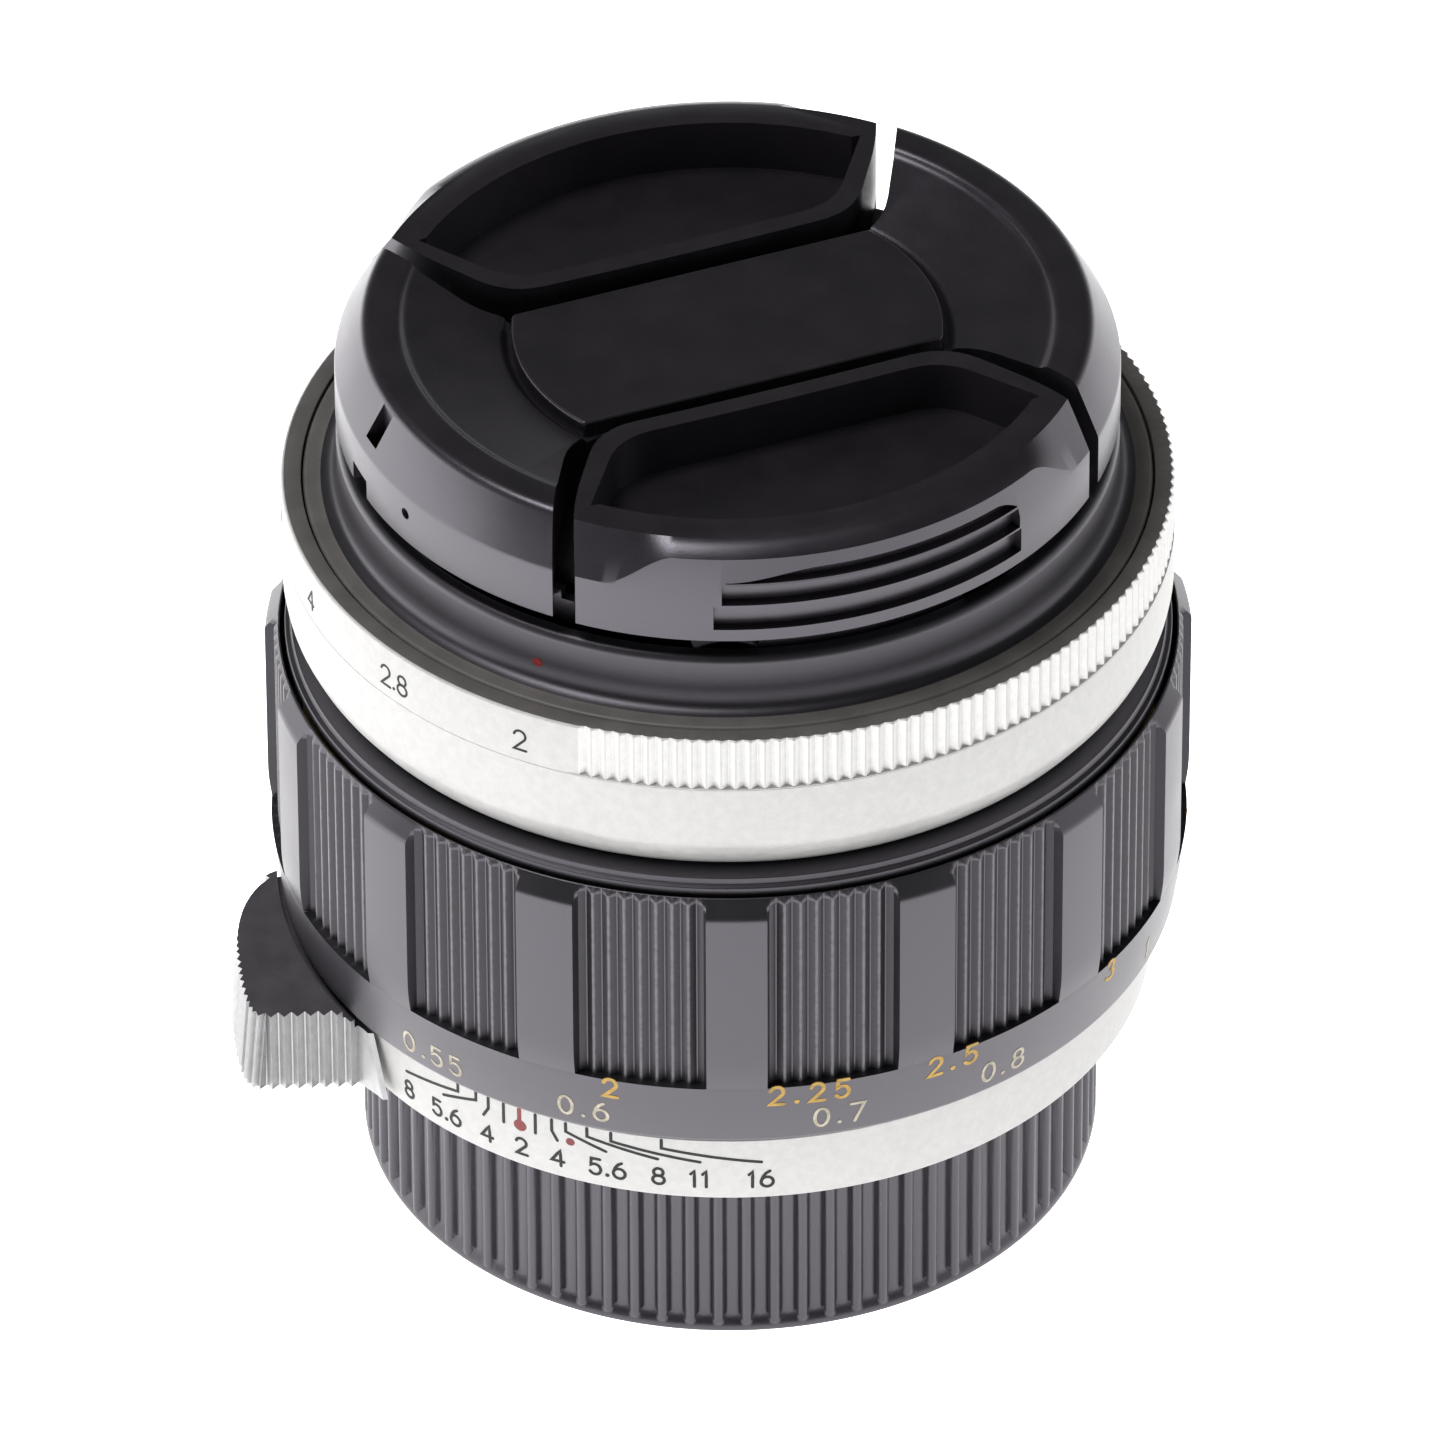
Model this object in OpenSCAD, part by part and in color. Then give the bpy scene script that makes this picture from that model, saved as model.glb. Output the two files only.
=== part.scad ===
// Manual-focus prime lens with a screw mount, standing on its rear cap, front cap fitted.
// The optical axis is Z, the front of the lens points up, and z = 0 is the rear cap's flat base.

/* [Rear cap] */
// Height of the rear cap
rear_cap_h = 14.2; // [12:0.1:15]
// Radius of the rear cap's wall between the ribs
rear_cap_r = 24.45; // [24.35:0.05:24.55]
// How far the grip ribs stand out from the wall
rib_out = 0.42; // [0.36:0.02:0.5]
// Number of grip ribs round the rear cap
rib_count = 82; // [60:1:90]

/* [Mount] */
// Outside radius of the mount's screw thread
thread_r = 21.0; // [20.8:0.1:21.1]
// Length of the mount's screw thread
thread_h = 4.5; // [3.5:0.1:5]
// Radius of the mount flange
flange_r = 27.6; // [27.4:0.1:27.7]
// Thickness of the mount flange
flange_h = 1.9; // [1.6:0.1:2]

/* [Depth scale ring] */
// Radius of the depth scale ring at its lower edge
scale_ring_r = 28.4; // [28.2:0.1:28.6]
// Height of the depth scale ring
scale_ring_h = 5.3; // [5:0.1:5.4]

/* [Stop-down lever] */
// Height of the lever's finger tab
tab_h = 6.25; // [6.2:0.05:6.3]
// Pitch of the V grooves on the tab
tab_pitch = 0.88; // [0.7:0.01:1]

/* [Focus ring] */
// Radius over the smooth lands of the focus ring
grip_r = 30.9; // [30.7:0.1:31.2]
// Depth of the knurled hollows between the lands
scallop_depth = 0.66; // [0.4:0.02:0.7]
// Number of knurled hollows
scallop_count = 15; // [12:1:18]
// Angle that one hollow takes up
scallop_angle = 16.1; // [12:0.1:17]
// Number of V teeth in one hollow
scallop_teeth = 8; // [5:1:9]
// Height of the focus ring
focus_ring_h = 21.1; // [21:0.1:21.2]

/* [Aperture ring] */
// Radius of the aperture ring
aperture_r = 29.55; // [29.4:0.05:29.6]
// Height of the aperture ring
aperture_h = 11.4; // [11:0.1:11.5]
// Height of the knurled band
knurl_h = 3.9; // [3:0.1:4.5]
// Teeth of the knurl in a full turn
knurl_teeth = 195; // [150:1:220]
// Angle of the plain sector that carries the scale
plain_angle = 138; // [130:1:150]

/* [Front barrel] */
// Outside radius of the front barrel
front_r = 25.85; // [25.6:0.05:26]
// Inside radius of the filter thread
filter_r = 24.1; // [24:0.05:24.2]

/* [Iris] */
// Number of iris blades
blade_count = 6; // [6]
// Radius of the fully open iris
open_r = 14.1; // [13.8:0.1:14.3]
// Thickness of one iris blade
blade_t = 0.12; // [0.08:0.01:0.14]

/* [Front cap] */
// Radius of the front cap
cap_r = 25.85; // [25.5:0.05:26]
// Half width of the flat bar across the cap
bar_half = 6.6; // [6.3:0.1:6.8]
// Gap between a grip and the bar
grip_gap = 1.4; // [1.3:0.05:1.5]
// Angle of the bar across the cap
bar_angle = 21.6; // [0:0.1:90]

/* [Hidden] */
$fn = 96;
flange_z = 14.4;
thread_z = flange_z - thread_h;
scale_top_z = flange_z + scale_ring_h;
focus_z = scale_top_z + 0.2;
focus_top_z = focus_z + focus_ring_h;
aperture_z = 42.2;
aperture_top_z = aperture_z + aperture_h;
front_top_z = 57.6;
cap_z = 59.0;
cap_top_z = 66.2;
mount_bore_r = 15.0;
pin_ring_r = 17.9;
pin_r = 0.9;
run = 0.06;
sleeve_r = 24.55;
iris_z = 35.2;
blade_step = 0.2;
pivot_r = 21.2;
blade_outer_r = 20.0;
plate_top_z = flange_z + flange_h + 1.6;
bridge_z = 21.4;
mount_screw_r = 22.9;
scale_screw_turns = [15, 80, 145];
barrel_r = 26.3;
helicoid_screw_r = 27.4;
click_turn = 100;
cap_side_z = 62.8;

// ---- shared shapes ----

// A plain tube between two heights.
module tube(inner, outer, z0, z1) {
    rotate_extrude() translate([inner, z0]) square([outer - inner, z1 - z0]);
}

// A solid disc or rod between two heights.
module rod(r, z0, z1) {
    translate([0, 0, z0]) cylinder(r = r, h = z1 - z0);
}

// Children repeated evenly round the axis.
module around(count, start = 0) {
    for (i = [0 : count - 1]) rotate(start + i * 360 / count) children();
}

// A slotted grub screw lying along a radius, from r0 out to r1.
module grub_screw(r0, r1, z, r = 0.7) {
    translate([r0, 0, z]) rotate([0, 90, 0]) difference() {
        cylinder(r = r, h = r1 - r0, $fn = 32);
        translate([-r - 1, -0.15, r1 - r0 - 0.5]) cube([2 * r + 2, 0.3, 1]);
    }
}

// ---- rear cap ----

// One rounded grip rib. It rises from the cap's foot and ends just under its rim.
module cap_rib() {
    rib_r = 0.39;
    rib_z = 0.25;
    translate([rear_cap_r - rib_r + rib_out, 0, rib_z])
        cylinder(r = rib_r, h = rear_cap_h - rib_z - 0.2, $fn = 24);
}

module rear_cap() {
    rib_start = 0.2;
    color("#3a383a") difference() {
        union() {
            rotate_extrude() polygon([[0, 0], [rear_cap_r + 0.3, 0], [rear_cap_r + 0.45, 0.15],
                [rear_cap_r + 0.45, 0.4], [rear_cap_r, 0.95], [rear_cap_r, rear_cap_h],
                [0, rear_cap_h]]);
            around(rib_count, rib_start) cap_rib();
        }
        rod(thread_r + 0.65, 1.6, rear_cap_h + 1);
        translate([0, 0, -0.01]) tube(17.5, 18.1, -1, 0.31);
    }
}

// ---- mount and fixed parts ----

module screw_mount() {
    color("#b9bcc0") difference() {
        union() {
            tube(mount_bore_r, flange_r, flange_z, flange_z + flange_h);
            tube(mount_bore_r + 4.3, thread_r, thread_z, flange_z + 0.01);
            translate([0, pin_ring_r, flange_z - 1.6]) cylinder(r = 1.5, h = 1.7);
        }
        translate([0, pin_ring_r, 0]) rod(pin_r + run, flange_z - 3, flange_z + 4);
        around(3, 30) translate([mount_screw_r, 0, 0]) {
            rod(0.85, flange_z - 1, flange_z + 4);
            rod(1.55, flange_z - 1, flange_z + 0.9);
        }
        // blind holes for the screws that hold the depth scale ring
        for (a = scale_screw_turns) rotate(a) translate([flange_r - 1, 0, flange_z + 1])
            rotate([0, 90, 0]) cylinder(r = 0.75, h = 2, $fn = 32);
    }
}

module mount_screws() {
    color("#8d9094") around(3, 30) translate([mount_screw_r, 0, 0]) difference() {
        union() {
            rod(1.5, flange_z + 0.1, flange_z + 0.9);
            rod(0.8, flange_z + 0.8, plate_top_z - 0.1);
        }
        for (a = [0, 90]) rotate(a) translate([-1, -0.15, flange_z - 0.5]) cube([2, 0.3, 1.0]);
    }
}

module depth_scale_ring() {
    color("#d9dadc") difference() {
        rotate_extrude() polygon([[flange_r + 0.05, flange_z], [scale_ring_r - 0.15, flange_z],
            [scale_ring_r, flange_z + 0.15], [scale_ring_r + 0.4, scale_top_z],
            [flange_r + 0.05, scale_top_z]]);
        // window that the stop-down lever's arm reaches out through
        translate([0, 0, flange_z + 2.2]) window_sector(30, 166, 206, 1.6);
        for (a = scale_screw_turns) rotate(a) translate([20, 0, flange_z + 1])
            rotate([0, 90, 0]) cylinder(r = 0.75, h = 12, $fn = 32);
    }
}

// A wedge of a disc, used to cut windows. Angles are counted from +X.
module window_sector(r, from, to, h) {
    steps = 6;
    linear_extrude(h) polygon(concat([[0, 0]],
        [for (i = [0 : steps]) let (a = from + (to - from) * i / steps)
            [1.2 * r * cos(a), 1.2 * r * sin(a)]]));
}

module scale_ring_screws() {
    color("#8d9094") for (a = scale_screw_turns) rotate(a)
        grub_screw(flange_r - 0.9, flange_r + 0.75, flange_z + 1);
}

module fixed_barrel() {
    color("#55565a") difference() {
        union() {
            tube(25.5, barrel_r, flange_z + flange_h, 32.0);
            tube(21.6, 25.5, flange_z + flange_h, plate_top_z);
        }
        around(3, 30) translate([mount_screw_r, 0, 0]) rod(0.85, flange_z + 1, flange_z + 5);
    }
}

module guide_key() {
    color("#c9a75a") rotate(45) translate([23.05, -1.4, plate_top_z]) cube([0.95, 2.8, 11]);
}

// ---- stop-down lever and automatic pin ----

// Outline of the finger tab, seen from the front of the lens, down to an inner radius.
module tab_outline(inner_r) {
    difference() {
        polygon([[-19.9, -16.0], [-21.5, -16.3], [-31.2, -16.8], [-32.2, -15.8], [-32.8, -13.6],
            [-33.3, -11.0], [-33.5, -8.0], [-33.1, -5.0], [-32.2, -2.8], [-30.9, -1.4],
            [-29.9, -0.8], [-22, 0]]);
        circle(r = inner_r);
        for (i = [0 : 7]) translate([-24.7 - i * tab_pitch, -16.5 - i * 0.045])
            polygon([[-0.3, -0.5], [0.3, -0.5], [0, 0.45]]);
    }
}

module stop_down_lever() {
    top = flange_z + tab_h;
    color("#c9cacd") {
        // tab, stepped inside so that it clears the focus ring's chamfer
        translate([0, 0, flange_z + 0.05]) linear_extrude(4.8) tab_outline(29.1);
        translate([0, 0, flange_z + 4.8]) linear_extrude(0.8) tab_outline(29.8);
        translate([0, 0, flange_z + 5.6]) linear_extrude(top - flange_z - 5.6) tab_outline(30.4);
        // ring that turns on the fixed barrel, and the arm that joins it to the tab
        tube(barrel_r + run, 27.4, flange_z + 2.5, flange_z + 3.5);
        intersection() {
            tube(27.3, 30.5, flange_z + 2.5, flange_z + 3.5);
            translate([0, 0, flange_z]) window_sector(34, 190, 204, 6);
        }
    }
}

module stop_down_pin() {
    color("#d2b069") translate([0, pin_ring_r, 0]) {
        rod(pin_r, flange_z - 5.4, flange_z + 2.5);
        rod(1.4, flange_z + 2.0, flange_z + 2.5);
        rod(0.6, flange_z + 2.4, flange_z + 4.4);
    }
}

module pin_spring() {
    turns = 6;
    low = flange_z + 2.52;
    pitch = (bridge_z - 0.02 - low) / turns;
    color("#a6a8ab") translate([0, pin_ring_r, 0]) difference() {
        rod(1.35, low, bridge_z - 0.02);
        rod(0.85, low - 1, bridge_z + 1);
        // open gaps between the turns, left and right by turns
        for (i = [0 : turns - 1]) translate([i % 2 == 0 ? -0.4 : -2, -2, low + pitch * (i + 0.35)])
            cube([2.4, 4, pitch * 0.4]);
    }
}

module pin_bridge() {
    color("#8f9196") {
        translate([-2, 16.1, bridge_z]) cube([4, 6.6, 0.8]);
        translate([-2, 21.7, plate_top_z]) cube([4, 1.0, bridge_z + 0.8 - plate_top_z]);
    }
}

// ---- focusing group ----

// Outline of the focus ring: lands, with V-toothed hollows cut between them.
function hollow_points(centre) =
    let (floor_r = grip_r - scallop_depth, half = scallop_angle / 2,
         step = scallop_angle / scallop_teeth)
    concat([polar(grip_r + 1, centre - half), polar(floor_r, centre - half)],
        [for (i = [0 : scallop_teeth - 1]) for (part = [0.5, 1])
            polar(part == 0.5 ? floor_r - 0.28 : floor_r, centre - half + step * (i + part))],
        [polar(grip_r + 1, centre + half)]);
function polar(r, a) = [r * cos(a), r * sin(a)];

module focus_ring() {
    color("#37363a") difference() {
        rotate_extrude() polygon([[28.3, focus_z], [28.9, focus_z], [30.1, focus_z + 0.9],
            [30.65, 25.4], [grip_r, 27.3], [grip_r, 39.8], [29.95, focus_top_z], [29.85, focus_top_z],
            [29.85, 33.25], [28.5, 33.25], [28.5, 32.1], [barrel_r + run, 32.1], [barrel_r + run, 31.0],
            [27.2, 31.0], [27.2, 24.0], [barrel_r + run, 24.0], [barrel_r + run, 21.6], [28.3, 21.6]]);
        for (i = [0 : scallop_count - 1]) translate([0, 0, 25.6]) linear_extrude(20)
            polygon(hollow_points(-90 - 11.2 + i * 360 / scallop_count));
    }
}

module focus_helicoid() {
    color("#b8964c") difference() {
        union() {
            tube(sleeve_r + run, 25.4, 20.0, 33.2);
            tube(sleeve_r + run, 28.45, 32.15, 33.2);
        }
        around(3, 15) translate([helicoid_screw_r, 0, 0]) rod(0.65, 31, 34);
    }
}

module helicoid_screws() {
    color("#8d9094") around(3, 15) translate([helicoid_screw_r, 0, 0]) rod(0.6, 32.2, 33.2);
}

module focus_sleeve() {
    color("#b39a5e") difference() {
        tube(23.2, sleeve_r, 24.9, 40.6);
        // keyway that the guide key runs in
        rotate(45) translate([20, -1.5, 20]) cube([4.1, 3, 18]);
    }
}

module front_collar() {
    color("#2f2e31") rotate_extrude() polygon([[22.9, 40.65], [29.45, 40.65], [29.5, 40.8],
        [29.5, 41.9], [29.35, 42.05], [22.9, 42.05]]);
}

module aperture_seat() {
    color("#6b6c70") difference() {
        rotate_extrude() polygon([[23.0, 42.1], [25.3, 42.1], [25.3, 52.3], [24.1, 52.3],
            [24.1, 49.4], [23.0, 49.4]]);
        rotate(click_turn) translate([20, 0, 45]) rotate([0, 90, 0]) cylinder(r = 0.66, h = 10, $fn = 32);
    }
}

// ---- aperture ring ----

// Area cut away to leave the teeth of the knurled band, everywhere but over the plain sector.
module knurl_cut() {
    first = -90 - 19.5;
    pitch = 360 / knurl_teeth;
    teeth = floor((360 - plain_angle) / pitch);
    tip_r = aperture_r - 0.03;
    sweep = teeth * pitch;
    polygon(concat(
        [for (i = [0 : teeth - 1]) for (part = [0, 0.5])
            polar(part == 0 ? tip_r : tip_r - 0.42, first + (i + part) * pitch)],
        [polar(tip_r, first + sweep)],
        [for (i = [24 : -1 : 0]) polar(aperture_r + 1.5, first + sweep * i / 24)]));
}

module aperture_ring() {
    color("#dddee0") difference() {
        rotate_extrude() polygon([[25.3 + run, aperture_z], [27.6, aperture_z],
            [28.0, aperture_z + 0.4], [28.9, aperture_z + 1.6], [29.4, aperture_z + 2.7],
            [aperture_r, aperture_z + 3.6], [aperture_r, aperture_top_z - 0.1],
            [aperture_r - 0.1, aperture_top_z], [25.3 + run, aperture_top_z]]);
        translate([0, 0, aperture_top_z - knurl_h]) linear_extrude(10) knurl_cut();
        // recess that the front barrel's flange sits in
        rod(28.2, aperture_top_z - 1.3, aperture_top_z + 1);
        // track that the click ball runs in
        tube(25, 25.95, 44.3, 45.7);
    }
}

module click_ball() {
    color("#c8cacc") rotate(click_turn) translate([25.25, 0, 45]) sphere(r = 0.6, $fn = 32);
}

module click_spring() {
    color("#a6a8ab") rotate(click_turn) translate([23.2, 0, 45]) rotate([0, 90, 0]) difference() {
        cylinder(r = 0.6, h = 1.4, $fn = 32);
        translate([0, 0, -1]) cylinder(r = 0.35, h = 4, $fn = 32);
    }
}

// ---- front barrel ----

module front_barrel() {
    color("#232226") rotate_extrude() polygon([[24.4, 52.5], [28.1, 52.5], [28.1, 53.4],
        [27.9, 53.6], [27.0, 53.6], [26.4, 53.75], [26.05, 54.1], [front_r, 54.8], [front_r, 57.2],
        [front_r - 0.25, 57.5], [25.4, front_top_z], [24.75, front_top_z], [24.55, 57.4],
        [24.55, 55.7], [filter_r, 55.7], [filter_r, 53.4], [24.4, 53.4]]);
}

module inner_ring() {
    color("#1f1f22") rotate_extrude() polygon([[16.3, 49.6], [24.0, 49.6], [24.0, 53.2], [23.2, 53.2],
        [22.8, 52.4], [20.6, 52.0], [18.8, 51.5], [16.3, 50.7]]);
}

// ---- optics ----

// A lens element turned from its section. A positive face radius bulges outwards.
function sag(x, radius) = (radius > 0 ? -1 : 1) * (abs(radius) - sqrt(radius * radius - x * x));
module element(r, z0, z1, front, back) {
    steps = 8;
    front_z = front > 0 ? z1 : z1 - sag(r, front);
    back_z = back > 0 ? z0 : z0 + sag(r, back);
    rotate_extrude() polygon(concat(
        [for (i = [0 : steps]) let (x = r * i / steps) [x, back_z - sag(x, back)]],
        [for (i = [steps : -1 : 0]) let (x = r * i / steps) [x, front_z + sag(x, front)]]));
}

module front_element() { color("#bfe0e8") element(16.0, 46.4, 51.4, 44, -150); }
module second_element() { color("#c4e4d8") element(14.6, 42.0, 46.2, 32, 400); }
module third_element() { color("#cfd8ea") element(14.6, 38.7, 41.7, 400, -60); }
module fourth_element() { color("#d8d2ea") element(13.4, 29.6, 32.9, -45, 300); }
module fifth_element() { color("#c6e2e6") element(13.4, 26.4, 29.5, 300, 40); }
module rear_element() { color("#bfe0e8") element(13.4, 21.8, 26.0, 60, 48); }

module front_cell() {
    color("#2a2a2d") rotate_extrude() polygon([[14.65, 38.4], [22.85, 38.4], [22.85, 49.3],
        [16.05, 49.3], [16.05, 46.3], [14.65, 46.3]]);
}

module rear_cell() {
    color("#2a2a2d") rotate_extrude() polygon([[13.45, 21.5], [14.6, 21.5], [14.6, 30.0], [22.9, 30.0],
        [22.9, 33.6], [13.45, 33.6]]);
}

module rear_retainer() {
    color("#1f1f22") difference() {
        tube(12.3, 14.5, 20.7, 21.45);
        for (a = [0, 180]) rotate(a) translate([13.5, -0.5, 20]) cube([2, 1, 1.1]);
    }
}

// ---- iris ----

module iris_housing() {
    color("#3b3b3f") difference() {
        union() {
            tube(open_r + 0.1, 22.9, 33.65, 34.6);
            tube(22.3, 22.9, 34.6, 38.3);
        }
        around(blade_count) translate([pivot_r, 0, 0]) rod(0.5 + run, 33, 35);
    }
}

module iris_cam_ring() {
    color("#8f8a6a") difference() {
        tube(open_r + 0.2, 21.9, 37.0, 37.7);
        around(blade_count, 12) translate([17.6, -1.0, 36]) cube([2.6, 1.4, 3]);
    }
}

// Iris blade number n: a crescent on a pivot pin, each one a step higher than the last.
module iris_blade(n) {
    z = iris_z + (n - 1) * blade_step;
    reach = 108;
    color("#2b2c30") rotate((n - 1) * 360 / blade_count) {
        translate([0, 0, z]) linear_extrude(blade_t) {
            intersection() {
                difference() {
                    circle(r = blade_outer_r);
                    circle(r = open_r);
                }
                polygon([for (i = [0 : 6]) i == 6 ? [0, 0] : polar(30, 4 - i * (reach + 4) / 5)]);
            }
            translate([pivot_r, 0]) circle(r = 0.95);
            translate([blade_outer_r - 0.6, -0.8]) square([pivot_r - blade_outer_r + 0.6, 1.6]);
        }
        translate([pivot_r, 0, 0]) rod(0.5, 33.8, z + blade_t);
    }
}

// ---- front cap ----

// Outline of one grip: a straight edge along the bar, then edges that flare to the rim.
module grip_outline(grow = 0) {
    edge = -bar_half - grip_gap + grow;
    flare = 21.8 + 1.6 * grow;
    polygon([[-12.3 - grow, edge], [12.3 + grow, edge], [16.9 + grow, -15.2], [flare, -30],
        [-flare, -30], [-16.9 - grow, -15.2]]);
}

// The grips' turned outer shape: chamfered like the body, but higher round the middle.
module grip_solid() {
    rotate_extrude() polygon([[0, cap_z], [cap_r, cap_z], [cap_r, cap_side_z], [23.9, 65.9], [8, 65.6],
        [0, 65.6]]);
    intersection() {
        rotate_extrude() polygon([[0, cap_z], [cap_r, cap_z], [cap_r, cap_side_z], [25.65, 64.2],
            [25.2, 65.2], [24.6, 65.7], [23.9, 65.9], [8, 65.6], [0, 65.6]]);
        translate([0, 0, cap_z]) window_sector(30, -90 - 35, -90 + 35, 10);
    }
}

module cap_body() {
    floor_z = cap_z + 1.3;
    color("#28272a") rotate(bar_angle) difference() {
        rotate_extrude() polygon([[0, cap_z], [cap_r, cap_z], [cap_r, cap_side_z], [23.9, cap_top_z],
            [21.6, cap_top_z], [21.2, 65.8], [14.6, 64.7], [14.4, 64.4], [0, 64.4]]);
        // windows for the grips: through the top and side, and through the floor near the rim
        for (a = [0, 180]) rotate(a) {
            translate([0, 0, floor_z]) linear_extrude(20) grip_outline(grip_gap - 0.01);
            translate([0, 0, cap_z - 1]) linear_extrude(3) difference() {
                grip_outline(grip_gap - 0.01);
                circle(r = 22.05);
            }
        }
        // tunnel under the bar for the grips' tongues and springs
        translate([-11.1, -9, floor_z]) cube([22.2, 18, 2.9]);
        rod(21.9, cap_z - 1, cap_z + 0.9);
        lanyard_hole();
    }
    color("#2d2c2f") rotate(bar_angle) bar_top();
}

// Hole through the rim beside one grip, for a thin cord.
module lanyard_hole() {
    rotate(182.4) translate([24.8, 0, cap_z - 1]) rod(0.65, 0, 10);
}

// Flat bar that crosses the cap between the grips, with round ends.
module bar_top() {
    intersection() {
        rod(14.2, 64.3, 65.3);
        translate([-20, -bar_half, 60]) cube([40, 2 * bar_half, 10]);
    }
}

module cap_back_plate() {
    color("#2d2c2f") rod(21.7, cap_z + 0.05, cap_z + 0.85);
}

// One pinch grip in the cap's own frame, on the -Y side of the bar.
module cap_grip() {
    base_z = cap_z + 1.6;
    difference() {
        union() {
            intersection() {
                grip_solid();
                translate([0, 0, base_z]) linear_extrude(20) grip_outline();
            }
            // tongues that slide under the bar
            for (x = [-10.9, 8.3]) translate([x, -8.2, base_z]) cube([2.6, 4.4, 2.3]);
            // skirt that carries the side down to the cap's lower edge
            intersection() {
                tube(23.3, cap_r, cap_z + 0.05, base_z + 0.1);
                translate([0, 0, cap_z]) linear_extrude(4) grip_outline();
            }
            // hooked rim that reaches down into the filter mouth
            intersection() {
                tube(23.3, 24.45, 55.9, cap_z + 0.2);
                translate([-8, -30, 50]) cube([16, 20, 20]);
            }
        }
        // finger pocket behind the lip
        translate([0, 0, 62.2]) linear_extrude(20) intersection() {
            circle(r = 21.8);
            polygon([[-11.7, -9.3], [11.7, -9.3], [15.7, -15.6], [16.1, -24], [-16.1, -24], [-15.7, -15.6]]);
        }
        // window in the side, with a grip ridge left standing across it
        side_window(59.9, 61.7);
        side_window(61.95, 63.4);
    }
}

// Shallow slot round the side of a grip between two heights.
module side_window(z0, z1) {
    intersection() {
        tube(24.75, cap_r + 1, z0, z1);
        translate([0, 0, z0 - 1]) window_sector(30, -90 - 24, -90 + 25.5, z1 - z0 + 2);
    }
}

module cap_grip_front() { color("#2c2b2e") rotate(bar_angle) cap_grip(); }
module cap_grip_rear() { color("#2c2b2e") rotate(bar_angle + 180) cap_grip(); }

module cap_springs() {
    color("#a6a8ab") rotate(bar_angle) for (x = [-9.6, 9.6]) translate([x, -2.4, cap_z + 2.75])
        rotate([-90, 0, 0]) difference() {
            cylinder(r = 1.0, h = 4.8, $fn = 32);
            translate([0, 0, -1]) cylinder(r = 0.6, h = 8, $fn = 32);
        }
}

rear_cap();
screw_mount();
mount_screws();
depth_scale_ring();
scale_ring_screws();
fixed_barrel();
guide_key();
stop_down_lever();
stop_down_pin();
pin_spring();
pin_bridge();
focus_ring();
focus_helicoid();
helicoid_screws();
focus_sleeve();
front_collar();
aperture_seat();
aperture_ring();
click_ball();
click_spring();
front_barrel();
inner_ring();
front_cell();
rear_cell();
rear_retainer();
front_element();
second_element();
third_element();
fourth_element();
fifth_element();
rear_element();
iris_housing();
iris_cam_ring();
iris_blade(1);  // iris_blade_1
iris_blade(2);  // iris_blade_2
iris_blade(3);  // iris_blade_3
iris_blade(4);  // iris_blade_4
iris_blade(5);  // iris_blade_5
iris_blade(6);  // iris_blade_6
cap_body();
cap_back_plate();
cap_grip_front();
cap_grip_rear();
cap_springs();
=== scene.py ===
"""Looks of the manual-focus prime lens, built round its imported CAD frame.

Lengths are millimetres in the helpers and become metres when a mesh is made. Angles are
degrees: "turn" is counted from +X, and "azimuth" from the side that faces the camera (-Y),
positive towards +X.
"""
from math import ceil, cos, degrees, dist, hypot, pi, radians, sin, sqrt

import bmesh
import bpy
from mathutils import Matrix, Vector


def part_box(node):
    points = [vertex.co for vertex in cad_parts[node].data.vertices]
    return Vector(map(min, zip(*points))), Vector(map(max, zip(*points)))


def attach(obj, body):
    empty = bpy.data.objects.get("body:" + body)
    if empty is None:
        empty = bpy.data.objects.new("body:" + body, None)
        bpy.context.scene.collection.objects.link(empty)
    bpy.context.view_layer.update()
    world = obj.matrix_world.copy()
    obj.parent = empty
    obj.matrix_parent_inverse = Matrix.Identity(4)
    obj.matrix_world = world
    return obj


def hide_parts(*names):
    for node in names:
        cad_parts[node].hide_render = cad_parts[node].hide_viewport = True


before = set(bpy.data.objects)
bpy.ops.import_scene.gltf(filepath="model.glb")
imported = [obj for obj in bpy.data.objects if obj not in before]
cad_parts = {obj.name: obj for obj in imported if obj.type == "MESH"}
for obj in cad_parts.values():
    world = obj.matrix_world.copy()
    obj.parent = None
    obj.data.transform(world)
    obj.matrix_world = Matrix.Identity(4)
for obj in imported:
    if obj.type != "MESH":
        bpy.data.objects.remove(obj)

MM = 0.001
SCENE = bpy.context.scene
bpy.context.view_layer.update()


# ---- heights that the CAD nodes give, in millimetres ----

def heights(node):
    """Lowest and highest height of a CAD node."""
    return [corner.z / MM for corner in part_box(node)]


REAR_CAP_TOP = heights("rear_cap")[1]
THREAD_Z = heights("screw_mount")[0]
SCALE_RING_Z, SCALE_RING_TOP = heights("depth_scale_ring")
LEVER_Z, LEVER_TOP = heights("stop_down_lever")
FOCUS_Z, FOCUS_TOP = heights("focus_ring")
COLLAR_Z, COLLAR_TOP = heights("front_collar")
APERTURE_Z, APERTURE_TOP = heights("aperture_ring")
BARREL_Z, BARREL_TOP = heights("front_barrel")
CAP_Z, CAP_TOP = heights("cap_body")

BAR_ANGLE = 21.6        # the front cap's bar, turned from +X
FOCUS_INDEX = -29.05    # azimuth of the distance index
APERTURE_INDEX = -28.7  # azimuth of the aperture index
BARREL_BORE = 26.36     # bore of the rings that turn on the fixed barrel


# ---- mesh helpers ----

def polar(r, turn):
    return r * cos(radians(turn)), r * sin(radians(turn))


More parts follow.
